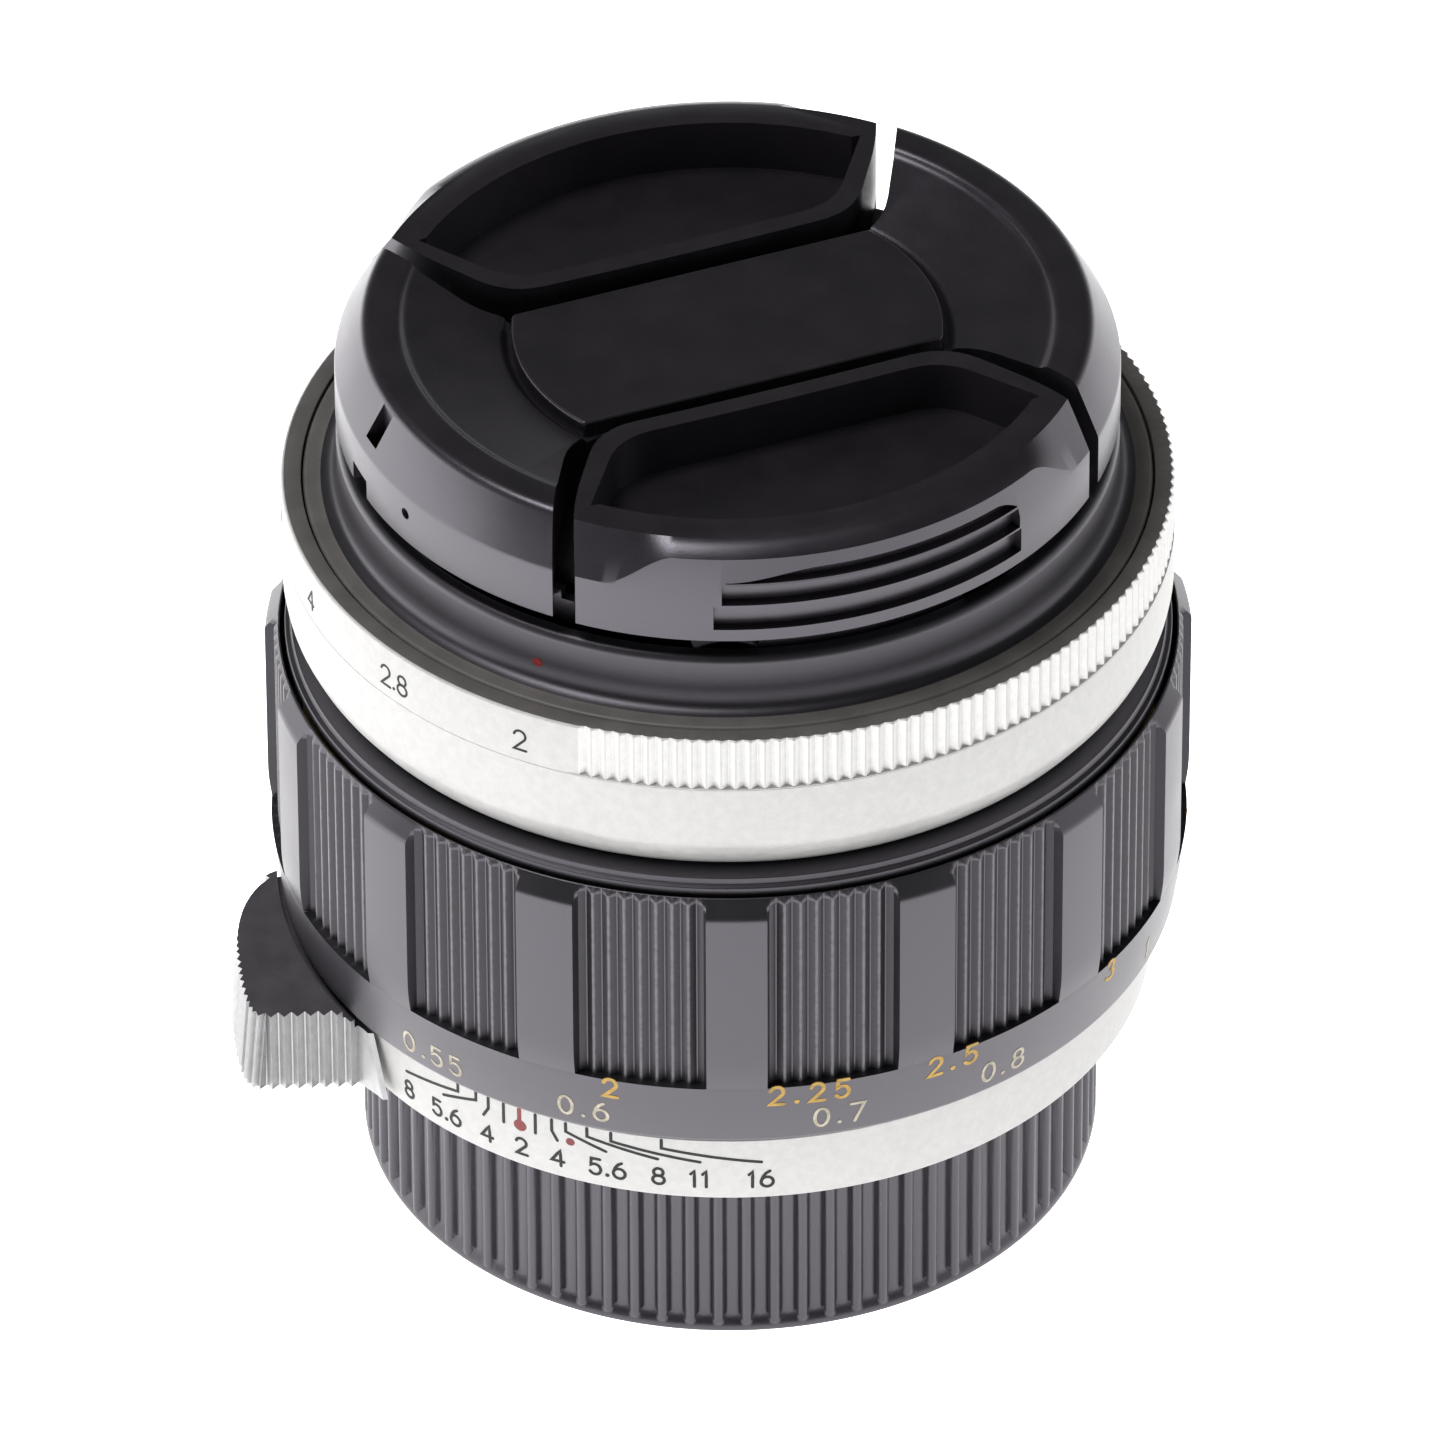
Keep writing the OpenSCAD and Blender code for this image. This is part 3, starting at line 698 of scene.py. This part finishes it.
def depth_scale():
    """Numerals and lines of the depth of field scale, and the two red dots."""
    index, top_z, mid_z, low_z = FOCUS_INDEX, 19.5, 18.75, 17.72
    text_z, height, gap = 16.17, 1.4, 0.28
    # f-number: offsets in degrees of its line's top, its line's foot and its numeral from the
    # index, and the height where the line bends
    stops = {"4": (4.8, 5.6, 5.4, 18.5), "5.6": (6.8, 12.4, 12.4, mid_z),
             "8": (9.8, 19.4, 19.4, mid_z), "11": (13.1, 25.0, 25.0, mid_z),
             "16": (19.9, 33.1, 33.1, mid_z)}
    ink = Marks(scale_radius, 0.22)
    for side in (-1, 1):
        ink.line([(index + side * 2.4, top_z), (index + side * 2.4, 17.8)])
    for text, (at_top, at_foot, at_text, bend_z) in stops.items():
        for side in (-1, 1):
            # the lever hides these two in the photograph
            if side < 0 and text in ("11", "16"):
                continue
            ink.line([(index + side * at_top, top_z), (index + side * at_top, bend_z),
                      (index + side * at_foot, low_z)])
            ink.number(text, index + side * at_text, text_z, height, gap)
    ink.number("2", index, text_z, height, gap)
    ink.build("depth_scale_marks", BLACK_PAINT, "mount_body")
    red = Marks(scale_radius, 0.3, proud=0.03)
    red.dot(0, 0, 0.95, index, 18.05)
    red.line([(index, top_z), (index, 18.05)])
    red.dot(0, 0, 0.62, index + 7.35, 17.9)
    red.build("distance_index_dots", RED_PAINT, "mount_body")


# ---- stop-down lever ----

def lever_outline():
    """Plan of the finger tab: V grooves along its front and on round its outer corner."""
    groove, pitch, count = 0.45, 0.88, 8
    face = []
    for i in range(count):
        x, y = -24.7 - i * pitch, -16.5 - i * 0.045
        face += [(x + 0.34, y - 0.02), (x, y + groove), (x - 0.1, y + groove)]
    corner = rounded(
        [(-31.35, -16.8), (-32.3, -16.5), (-33.0, -14.0), (-33.4, -11.0), (-33.5, -8.0),
        (-33.1, -5.0), (-32.2, -2.8), (-30.9, -1.4)], 1.2)
    side = divided(corner, pitch / 2)
    middle = (-29, -9)
    for i, (x, y) in enumerate(side):
        # every second point goes in towards the tab's middle, ever less round the corner
        inset = 0.34 * smoothstep(-6.0, -13.0, y) if i % 2 else 0.0
        far = dist((x, y), middle)
        side[i] = (x - inset * (x - middle[0]) / far, y - inset * (y - middle[1]) / far)
    return [(-29.9, -0.8), (-22, 0), (-20.0, -16.0), (-21.5, -16.3)] + face + side


def lower_corner(z0):
    """Cutter that rounds the tab's lower left corner, drawn in the XZ plane."""
    r, x0, far = 1.3, -32.2, -36
    bend = [polar(r, 270 - i * 9) for i in range(11)]
    edge = [(far, z0 - 1), (x0, z0 - 1)] + [(x + x0, y + z0 + r) for x, y in bend]
    cutter = prism("corner_cut", edge + [(far, z0 + r)], 0, 20)
    cutter.data.transform(Matrix.Rotation(radians(90), 4, "X"))
    return cutter


def slant(tab, z0, z1):
    """Slants the tab's right end out towards its foot, and its left end in towards its top."""
    for vertex in tab.data.vertices:
        x, y, z = vertex.co / MM
        up = (z - z0) / (z1 - z0)
        if x > -24.7 and y < -15:
            vertex.co.x += 1.2 * MM * (1 - up)
            vertex.co.y -= 1.4 * MM * (1 - up)
        elif x < -31.2:
            vertex.co.x += 0.5 * MM * up


def stop_down_lever():
    """Lever tab with a black top, and the ring and arm that carry it."""
    z0, z1 = LEVER_Z, LEVER_TOP
    ring_z, ring_top = z0 + 2.45, z0 + 3.45
    tab = prism("stop_down_lever_tab", lever_outline(), z0, z1, [LEVER_SATIN, LEVER_BLACK],
                "stop_down_lever")
    # clears the depth ring below and the focus ring above
    hollow = turned(
        "hollow", [(0, z0 - 1), (29.1, z0 - 1), (29.1, z0 + 4.8), (29.8, z0 + 4.85),
        (29.8, z0 + 5.55), (30.4, z0 + 5.6), (30.4, z1 + 1), (0, z1 + 1)])
    carve(tab, (CUT, hollow), (CUT, lower_corner(z0)))
    slant(tab, z0, z1)
    paint_faces(tab, lambda r, centre, normal: normal.z > 0.6)
    soften(tab, 0.09, angle=50)
    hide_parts("stop_down_lever")
    section = [(BARREL_BORE, ring_z), (27.4, ring_z), (27.4, ring_top), (BARREL_BORE, ring_top)]
    ring = turned("stop_down_lever_ring", rounded(section, 0.1, closed=True), [STEEL],
                  "stop_down_lever")
    arm = sector("stop_down_lever_arm", 27.2, 30.4, ring_z, ring_top, 190, 204)
    arm.data.materials.append(STEEL)
    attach(arm, "stop_down_lever")


# ---- focus ring ----

BAND_TOP = 25.6   # where the knurled hollows start, above the distance scale
LAND_R = 30.9
FOCUS_BORE = 29.85


def focus_columns():
    """(turn, radius limit, wear and painted highlight) round the focus ring: lands, and hollows
    with V teeth.
    """
    hollows, half, teeth, first = 15, 8.05, 8, -90 - 11.2
    floor_r, valley_r, wall = LAND_R - 0.66, LAND_R - 0.94, 0.22
    pitch, step = 360 / hollows, 2 * half / teeth
    # one tooth: share of its pitch, depth from crest to valley, and wear with painted highlight
    tooth = ((0.06, 0.0, 1.0), (0.13, 0.17, 0.1), (0.46, 1.0, 0.0), (0.54, 1.0, 0.0),
             (0.87, 0.17, 0.1), (0.94, 0.0, 1.0))
    out = []
    for i in range(hollows):
        centre = first + pitch * i
        out.append((centre - half - wall, LAND_R, 0.0))
        row = [(centre - half + (k + share) * step, mix(floor_r, valley_r, deep), worn_and_highlit)
               for k in range(teeth) for share, deep, worn_and_highlit in tooth]
        # the teeth beside the walls get no wear and no painted highlight
        row[0], row[-1] = (*row[0][:2], 0.0), (*row[-1][:2], 0.0)
        out += row
        land = centre + half + wall
        out += [(land + (pitch - 2 * half - 2 * wall) * share, LAND_R, 0.0)
                for share in (0, 0.05, 0.2, 0.35, 0.5, 0.65, 0.8, 0.95)]
    return sorted(out)


def focus_outside():
    """Outside of the focus ring from its foot to its top, with rows where the shape changes."""
    outer = rounded(
        [(28.3, FOCUS_Z), (28.9, FOCUS_Z), (30.1, 20.8), (30.65, 25.4), (LAND_R, 27.3),
         (LAND_R, 39.8), (29.95, FOCUS_TOP), (FOCUS_BORE, FOCUS_TOP)],
        [0, 0.15, 0.2, 1.2, 1.2, 0.2, 0.08, 0])
    out = []
    for (r, z), (r2, z2) in zip(outer, outer[1:]):
        out.append((r, z))
        if z < BAND_TOP < z2:
            edge = mix(r, r2, (BAND_TOP - z) / (z2 - z))
            out += [(edge, BAND_TOP - 0.02), (edge, BAND_TOP + 0.02)]
        if z2 - z > 0.5 and z > 39:
            out += [between((r, z), (r2, z2), t / 8) for t in range(1, 8)]
    return out


def focus_ring():
    """Focus ring: a conical scale band below, lands and knurled hollows above."""
    limit = {turn: (r, worn_and_highlit) for turn, r, worn_and_highlit in focus_columns()}
    outside = focus_outside()
    seat, thread = 28.5, 27.2   # radii of the collar's seat and of the helicoid
    section = outside + [(FOCUS_BORE, FOCUS_TOP), (FOCUS_BORE, 33.25), (seat, 33.25),
                         (seat, 32.1), (BARREL_BORE, 32.1), (BARREL_BORE, 31.0),
                         (thread, 31.0), (thread, 24.0), (BARREL_BORE, 24.0),
                         (BARREL_BORE, 21.6), (28.3, 21.6)]

    def at(turn):
        deep = limit[turn][0]
        return [(min(r, deep) if z > BAND_TOP and i < len(outside) else r, z)
                for i, (r, z) in enumerate(section)]

    # lightens the tooth tips: partly wear, partly a painted highlight
    def wear_and_highlight(r, z, turn):
        return limit[turn][1] if z > BAND_TOP and r > 29.9 else 0.0

    piece = turned("focus_ring_knurled", at, [ANODISED, TEETH_PAINTED_SHADE], "focus_ring", list(limit),
                   sharp=24, wear_and_highlight=wear_and_highlight)

    # flank faces of the teeth, which get the darker copy as painted shade
    def on_tooth(r, centre, normal):
        outward = (normal.x * centre.x + normal.y * centre.y) / r
        return (BAND_TOP < centre.z < 40.6 and 29.9 < r < LAND_R - 0.12
                and abs(normal.z) < 0.2 and outward < 0.98)

    paint_faces(piece, on_tooth)
    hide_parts("focus_ring")
    distance_scale()


def distance_turn(metres):
    """Azimuth of a distance mark, from the draw that a 55 mm lens needs to focus there."""
    focal, to_film, lead, rest_draw, rest_turn = 55.0, 110.0, 12.0, 6.98, -40.5
    free = metres * 1000 - to_film
    draw = (free - sqrt(free * free - 4 * focal * focal)) / 2
    return rest_turn + 360 / lead * (rest_draw - draw)


def distance_scale():
    """Distance marks: metres in cream below, feet in yellow above, on the conical band."""
    foot = 0.3048

    def band(z):
        return mix(30.1, 30.65, (z - 20.8) / 4.6)

    metres_z, feet_z, endless_z, height = 22.45, 24.85, 23.6, 1.6
    metres = Marks(band, 0.22, proud=0.02)
    for text in ("0.55", "0.6", "0.7", "0.8", "1", "1.2", "1.5", "2", "3", "5", "10"):
        metres.number(text, distance_turn(float(text)), metres_z, height, 0.6)
    metres.build("distance_scale_metres", CREAM_PAINT, "focus_ring")
    feet = Marks(band, 0.27, proud=0.02)
    for text in ("2", "2.25", "2.5", "3", "4", "5", "6", "8", "10", "16", "30"):
        feet.number(text, distance_turn(float(text) * foot), feet_z, height, 0.72)
    # infinity sign, two rings side by side
    endless = distance_turn(1e4)
    for side in (-1, 1):
        feet.stroke([(side * 0.62 + x, y) for x, y in arc(0, 0, 0.6, 0.5, 0, 360, 20)],
                    endless, endless_z)
    feet.build("distance_scale_feet", YELLOW_PAINT, "focus_ring")


# ---- collar and aperture ring ----

def front_collar():
    """Black annulus between the rings, with a turned step on its edge."""
    z0, z1 = COLLAR_Z, COLLAR_TOP
    section = rounded(
        [(22.9, z0), (29.45, z0), (29.5, z0 + 0.1), (29.5, z1 - 0.55), (29.15, z1 - 0.45),
         (29.1, z1), (22.9, z1)], [0, 0.06, 0.06, 0.1, 0.06, 0.08, 0], closed=True)
    piece = turned("front_collar_black", section, [GLOSS], "focus_barrel")
    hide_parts("front_collar")


def aperture_ring():
    """Satin ring with a knurled band everywhere but over the plain sector of its scale."""
    z0, z1, r1, knurl_h = APERTURE_Z, APERTURE_TOP, 29.55, 3.9
    bore, groove_r, lip_r, recess_z = 25.36, 25.95, 28.2, APERTURE_TOP - 1.3
    tip_r, valley_r, first, teeth = r1 - 0.03, r1 - 0.3, -90 - 19.5, 120
    pitch = 360 / 195
    columns = {}
    for i in range(teeth):
        start = first + i * pitch
        columns.update({start - 0.07 * pitch: tip_r, start + 0.07 * pitch: tip_r,
                        start + 0.47 * pitch: valley_r, start + 0.53 * pitch: valley_r})
    sweep = teeth * pitch
    columns[first + sweep] = tip_r
    plain = 360 - sweep
    columns.update({first + sweep + plain * i / 92: r1 for i in range(1, 92)})
    line_z = z1 - knurl_h
    section = rounded(
        [(bore, z0), (27.6, z0), (28.0, z0 + 0.4), (28.9, z0 + 1.6), (29.4, z0 + 2.7),
         (r1, z0 + 3.6)], [0, 0.1, 0.2, 0.3, 0.3, 0.2])
    section += [(r1, line_z - 0.08), (r1 - 0.02, line_z - 0.06), (r1 - 0.02, line_z),
                (r1, line_z + 0.03), (r1, line_z + 0.05), (r1, z1 - 0.22), (r1 - 0.03, z1 - 0.1),
                (r1 - 0.12, z1 - 0.02)]
    section += rounded(
        [(r1 - 0.2, z1), (lip_r, z1), (lip_r, recess_z), (bore, recess_z)], [0, 0.1, 0.05, 0])
    section += [(bore, 45.7), (groove_r, 45.7), (groove_r, 44.3), (bore, 44.3)]

    def at(turn):
        deep = columns[turn]
        return [(min(r, deep) if z > line_z + 0.045 and r > 28.9 else r, z)
                for r, z in section]

    piece = turned("aperture_ring_knurled", at, [SATIN, OLIVE, KNURL_PAINTED_LIGHT], "aperture_ring",
                   sorted(columns), sharp=26)

    def material(r, centre, normal):
        # the recess and its lip, then the flanks of the knurl, which get a lighter, less metallic
        # copy of the satin as painted light
        if r < r1 - 0.45 and centre.z > 50:
            return 1
        return 2 if r < r1 - 0.04 and centre.z > line_z else 0

    paint_faces(piece, material)
    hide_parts("aperture_ring")
    at_first, spacing, text_z, height, gap = -27.4, 20.3, 51.3, 1.55, 0.2
    ink = Marks(lambda z: r1, 0.17)
    for i, text in enumerate(("2", "2.8", "4", "5.6", "8", "11", "16")):
        ink.number(text, at_first - spacing * i, text_z, height, gap)
    ink.build("aperture_scale_marks", BLACK_PAINT, "aperture_ring")


# ---- front barrel ----

def front_barrel():
    """Black front barrel: a flange, a cove, a plain side, and the filter thread inside."""
    side_r, z0, z1 = 25.85, BARREL_Z, BARREL_TOP
    outer = rounded(
        [(24.4, z0), (28.1, z0), (28.1, z0 + 0.9), (27.9, z0 + 1.1), (27.0, z0 + 1.1),
         (26.4, z0 + 1.25), (26.05, z0 + 1.6), (side_r, z0 + 2.3), (side_r, z1 - 0.4),
         (side_r - 0.25, z1 - 0.1), (25.4, z1), (24.75, z1), (24.55, z1 - 0.2), (24.55, z1 - 1.9)],
        [0, 0.1, 0.1, 0.1, 0.3, 0.3, 0.3, 0.4, 0.2, 0.15, 0.1, 0.1, 0.1, 0])
    thread = zigzag(24.4, 24.1, z1 - 1.9, z1 - 4.2, 0.5)
    piece = turned(
        "front_barrel_black", outer + thread + [(24.4, z0 + 0.9)], [GLOSS, OLIVE], "focus_barrel")
    paint_faces(piece, lambda r, centre, normal: 27.0 < r < 28.2 and normal.z > 0.5)
    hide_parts("front_barrel")
    red = Marks(lambda z: side_r, 0.3, proud=0.05)
    red.dot(0, 0, 0.7, APERTURE_INDEX, 54.95)
    red.build("aperture_index_dot", RED_PAINT, "focus_barrel")


def inner_ring():
    """Stepped black ring round the front element, with fine steps that trap stray light."""
    steps = []
    profile = [(23.2, 53.2), (22.8, 52.4), (20.6, 52.0), (18.8, 51.5), (16.3, 50.7)]
    for (r, z), (r2, z2) in zip(profile[1:], profile[2:]):
        count = max(2, round(r - r2) * 2)
        for k in range(count):
            a, b = k / count, (k + 1) / count
            steps += [(mix(r, r2, a), mix(z, z2, a)), (mix(r, r2, b) + 0.05, mix(z, z2, a))]
    section = [(16.3, 49.6), (24.0, 49.6), (24.0, 53.1), (23.9, 53.2)] + profile[:2]
    section += steps[1:] + [(16.3, 50.7)]
    piece = turned("inner_ring_stepped", section, [INNER_BLACK], "focus_barrel", sharp=20)
    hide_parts("inner_ring")


# ---- front cap ----

BAR_HALF = 6.6
GRIP_GAP = 1.4
CAP_R = 25.85


def grip_outline(grow, corner):
    """Plan of one grip, on the -Y side of the bar, in the cap's own frame."""
    edge = -BAR_HALF - GRIP_GAP + grow
    flare = 21.8 + 1.6 * grow
    points = [(-flare, -30), (-16.9 - grow, -15.2), (-12.3 - grow, edge),
              (12.3 + grow, edge), (16.9 + grow, -15.2), (flare, -30)]
    return rounded(points, [0, 3.0, corner, corner, 3.0, 0], steps=6, closed=True)


def cap_body():
    """Body of the pinch cap: two side segments that dish towards a flat bar between them."""
    z0, z1, well_z, core_r = CAP_Z, CAP_TOP, CAP_Z + 1.3, 22.05
    section = [(0, z0 + 0.9), (21.9, z0 + 0.9), (21.9, z0)]
    section += rounded(
        [(21.9, z0), (CAP_R, z0), (CAP_R, z0 + 3.8), (23.9, z1), (21.6, z1), (21.2, z1 - 0.4),
         (14.9, z1 - 1.5), (14.5, z1 - 2.1), (0, z1 - 2.1)],
        [0, 0.15, 0.18, 0.5, 0.35, 0.3, 0.3, 0.2, 0], steps=4)[1:]
    piece = turned("front_cap_body", section, [CAP_BLACK], "front_cap")
    cuts = []
    for turn in (BAR_ANGLE, BAR_ANGLE + 180):
        outline = spun(grip_outline(GRIP_GAP, 3.2), turn)
        gate = prism("gate", outline, z0 - 1, z0 + 1.35)
        carve(gate, (CUT, turned("core", [(0, z0 - 2), (core_r, z0 - 2), (core_r, z0 + 2),
                                          (0, z0 + 2)])))
        cuts += [(CUT, prism("well", outline, well_z, z0 + 20)), (CUT, gate)]
    tunnel = spun([(-11.1, -9), (11.1, -9), (11.1, 9), (-11.1, 9)], BAR_ANGLE)
    cuts += [(CUT, prism("tunnel", tunnel, well_z, z0 + 4.2)),
             (CUT, sector("lanyard_hole", 24.15, 25.45, z0 - 1, z1 + 2, -158.0, -154.4, 6)),
             (CUT, sector("lanyard_notch", 24.6, 27, z0 - 1, z0 + 1.5, -161.5, -156.0, 6)),
             (CUT, radial_rod("moulding_mark", 0.4, 25.55, 27, -144.4, z0 + 2.3))]
    # rims that locate the cap in the filter mouth, and pass under the grips
    for turn in (BAR_ANGLE, BAR_ANGLE + 180):
        for reach, rim_top in ((41, z0 + 0.5), (62, z0 - 0.15)):
            cuts.append((ADD, sector("rim", 22.9, 23.6, z0 - 2.0, rim_top,
                                     turn - reach, turn + reach)))
    carve(piece, *cuts)
    soften(piece, 0.16, sharp=20)
    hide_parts("cap_body")
    bar = [polar(14.2, a) for a in range(-27, 28, 2)]
    bar += [(-x, -y) for x, y in bar]
    plate = prism("front_cap_bar", spun(bar, BAR_ANGLE), z1 - 2.3, z1 - 0.9, [CAP_BLACK],
                  "front_cap")
    soften(plate, 0.22)


def tapered_window(centre, z0):
    """Cutter for the top slot of a grip's window, which tapers at both ends."""
    start, left, right, end = -22.0, -8.0, 21.5, 25.4
    least, most, inner, outer, steps = 0.06, 0.78, 24.95, 27, 40
    verts = []
    for i in range(steps + 1):
        away = mix(start, end, i / steps)
        rise = min(smoothstep(start, left, away), smoothstep(end, right, away) ** 0.5)
        high = z0 + mix(least, most, rise)
        for r, z in ((inner, z0), (inner, high), (outer, high), (outer, z0)):
            verts.append((*polar(r, centre + away), z))
    faces = [(0, 1, 2, 3), tuple(range(4 * steps, 4 * steps + 4))[::-1]]
    faces += [(4 * i + k, 4 * i + 4 + k, 4 * i + 4 + (k + 1) % 4, 4 * i + (k + 1) % 4)
              for i in range(steps) for k in range(4)]
    return add_piece("tapered_window", verts, faces)


def grip_blank(name, turn):
    """Turned blank of a grip, whose rim is highest in the middle."""
    z0, centre = CAP_Z, turn - 90
    # edge, middle and inner end of the rim, at the grip's middle and at its ends
    full = [(25.2, z0 + 6.15), (24.65, z0 + 6.6), (23.9, z0 + 6.88)]
    ends = [(CAP_R - 0.02, z0 + 3.85), (24.85, z0 + 5.4), (23.9, z0 + 6.88)]

    def at(angle):
        t = smoothstep(29.5, 40.5, abs(turn_off(angle, centre)))
        rim = [between(a, b, t) for a, b in zip(full, ends)]
        return ([(0, z0 + 0.05), (CAP_R - 0.15, z0 + 0.05), (CAP_R, z0 + 0.2),
                 (CAP_R, z0 + 3.75)] + rim + [(22.5, z0 + 6.9), (8, z0 + 6.6), (0, z0 + 6.6)])

    turns = [centre - 90 + i * 0.75 for i in range(480)]
    return turned(name, at, [CAP_BLACK], None, turns)


def finger_pocket(turn, z0):
    """Cutter for the pocket behind a grip's lip."""
    half, inner_y, outer_y, rim_r = 11.4, -9.35, -15.6, 21.8
    rim = [polar(rim_r, -90 + a) for a in range(48, -49, -2)]
    sides = [(-15.75, outer_y), (-half, inner_y), (half, inner_y), (15.75, outer_y)]
    sides = rounded(sides, [0, 2.4, 2.4, 0], steps=6)
    outline = sides + [(x, y) for x, y in rim if abs(x) < 15.3]
    return prism("pocket", spun(outline, turn), z0 + 3.2, z0 + 20)


def cap_grip(name, node, turn):
    """One pinch grip: a finger pocket behind a lip, and a ridged window in its side."""
    z0, centre = CAP_Z, turn - 90
    piece = grip_blank(name, turn)
    outline = spun(grip_outline(0, 2.6), turn)
    skirt = sector("skirt", 23.3, CAP_R, z0 + 0.05, z0 + 1.8, centre - 60, centre + 60, 80)
    carve(skirt, (KEEP, prism("gate", outline, z0 - 1, z0 + 3)))
    cuts = [(KEEP, prism("outline", outline, z0 + 1.6, z0 + 20)), (ADD, skirt),
            (CUT, finger_pocket(turn, z0))]
    # window in the side, with grip ridges left standing: (low, high, from, to, inner radius)
    for low_z, high_z, start, end, inner in ((0.95, 2.78, -23.8, 25.8, 25.2),
                                             (2.92, 4.35, -22.6, 25.5, 25.15)):
        cuts.append((CUT, sector("window", inner, 27, z0 + low_z, z0 + high_z,
                                 centre + start, centre + end, 32)))
    cuts.append((CUT, tapered_window(centre, z0 + 4.5)))
    hook_z, hook_half = 55.9, 17
    cuts.append((ADD, sector("hook", 23.3, 24.45, hook_z, z0 + 0.6, centre - hook_half,
                             centre + hook_half, 16)))
    for x in (-10.9, 8.3):
        tongue = [(x, -8.4), (x + 2.6, -8.4), (x + 2.6, -3.8), (x, -3.8)]
        cuts.append((ADD, prism("tongue", spun(tongue, turn), z0 + 1.6, z0 + 3.9)))
    carve(piece, *cuts)
    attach(piece, node)
    soften(piece, 0.22, angle=38, sharp=20)
    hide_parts(node)


# ---- CAD nodes that show as they are ----

CARRIED_OVER = [
    (GREY, ["fixed_barrel", "pin_bridge", "iris_housing"]),
    (OLIVE, ["aperture_seat"]),
    (BRASS, ["guide_key", "focus_helicoid", "focus_sleeve", "iris_cam_ring", "stop_down_pin"]),
    (STEEL, ["mount_screws", "scale_ring_screws", "helicoid_screws", "click_ball",
             "click_spring", "pin_spring", "cap_springs"]),
    (INNER_BLACK, ["front_cell", "rear_cell", "rear_retainer"]),
    (BLADE, [f"iris_blade_{i}" for i in range(1, 7)]),
    (FRONT_GLASS, ["front_element", "second_element", "third_element"]),
    (REAR_GLASS, ["fourth_element", "fifth_element", "rear_element"]),
    (CAP_BLACK, ["cap_back_plate"]),
]


def carry_over():
    """Gives each CAD node that stays visible its material."""
    for mat, names in CARRIED_OVER:
        for name in names:
            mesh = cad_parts[name].data
            mesh.materials.clear()
            mesh.materials.append(mat)
            finish_shading(mesh, 25)


# ---- stage, lights and camera ----

def area_light(name, place, size, power):
    """A soft rectangular light that faces the lens."""
    light = bpy.data.lights.new(name, "AREA")
    light.shape = "RECTANGLE"
    light.size, light.size_y = size
    light.energy = power
    lamp = add_object(name, light)
    lamp.location = place
    aim = Vector((0, 0, 0.03)) - Vector(place)
    lamp.rotation_euler = aim.to_track_quat("-Z", "Y").to_euler()


def floor():
    """White floor that glows like a light table, more on the left."""
    size, edge, left, right, glow = 6.0, 0.1, 0.92, 0.66, 2.4
    mesh = bpy.data.meshes.new("floor")
    mesh.from_pydata([(-size, -size, 0), (size, -size, 0), (size, size, 0), (-size, size, 0)],
                     [], [(0, 1, 2, 3)])
    plate = add_object("floor", mesh)
    mat, tree, shader = new_material("floor_white")
    tint = ramp(tree, noise(tree, 400, 2), [(0.3, (0.90, 0.90, 0.905)),
                                            (0.7, (0.93, 0.93, 0.935))])
    tree.links.new(tint, shader.inputs["Base Color"])
    set_inputs(shader, {"Roughness": 0.9, "Specular IOR Level": 0.1,
                        "Emission Strength": glow})
    along = tree.nodes.new("ShaderNodeMapRange")
    set_inputs(along, {"From Min": -edge, "From Max": edge, "To Min": left, "To Max": right})
    tree.links.new(coordinate(tree, "Object", "X"), along.inputs["Value"])
    tree.links.new(along.outputs["Result"], shader.inputs["Emission Color"])
    mesh.materials.append(mat)


def light():
    """Soft panels, and surroundings that are dim but for a band near the horizon."""
    world = bpy.data.worlds.new("studio")
    world.use_nodes = True
    tree = world.node_tree
    sky = ramp(tree, coordinate(tree, "Generated", "Z"),
               [(0.0, 1.0), (0.16, 0.5), (0.34, 0.07), (1.0, 0.05)])
    tree.links.new(sky, tree.nodes["Background"].inputs["Color"])
    SCENE.world = world
    area_light("left_panel", (-1.2, 0.1, 0.24), (1.2, 0.45), 4.5)
    area_light("right_panel", (1.2, -0.1, 0.40), (1.0, 0.5), 2.0)
    area_light("top_soft", (-0.35, 0.0, 1.2), (0.5, 0.5), 7.5)
    SCENE.view_settings.view_transform = "Standard"


def camera():
    """Long lens at the photograph's viewing angle."""
    elevation, distance, roll = radians(37.94), 1.136, radians(-0.23)
    target = Vector((-0.56, 0, 32.4)) * MM
    cam = bpy.data.cameras.new("camera")
    cam.lens, cam.sensor_width = 424.9, 36
    cam.clip_start, cam.clip_end = 0.05, 30
    rig = add_object("camera", cam)
    rig.location = target + distance * Vector((0, -cos(elevation), sin(elevation)))
    look = (target - rig.location).to_track_quat("-Z", "Y").to_matrix().to_4x4()
    rig.rotation_euler = (look @ Matrix.Rotation(roll, 4, "Z")).to_euler()
    SCENE.camera = rig


camera()
floor()
light()
carry_over()
rear_cap()
screw_mount()
depth_scale_ring()
stop_down_lever()
focus_ring()
front_collar()
aperture_ring()
front_barrel()
inner_ring()
cap_body()
cap_grip("front_cap_grip_front", "cap_grip_front", BAR_ANGLE)
cap_grip("front_cap_grip_rear", "cap_grip_rear", BAR_ANGLE + 180)
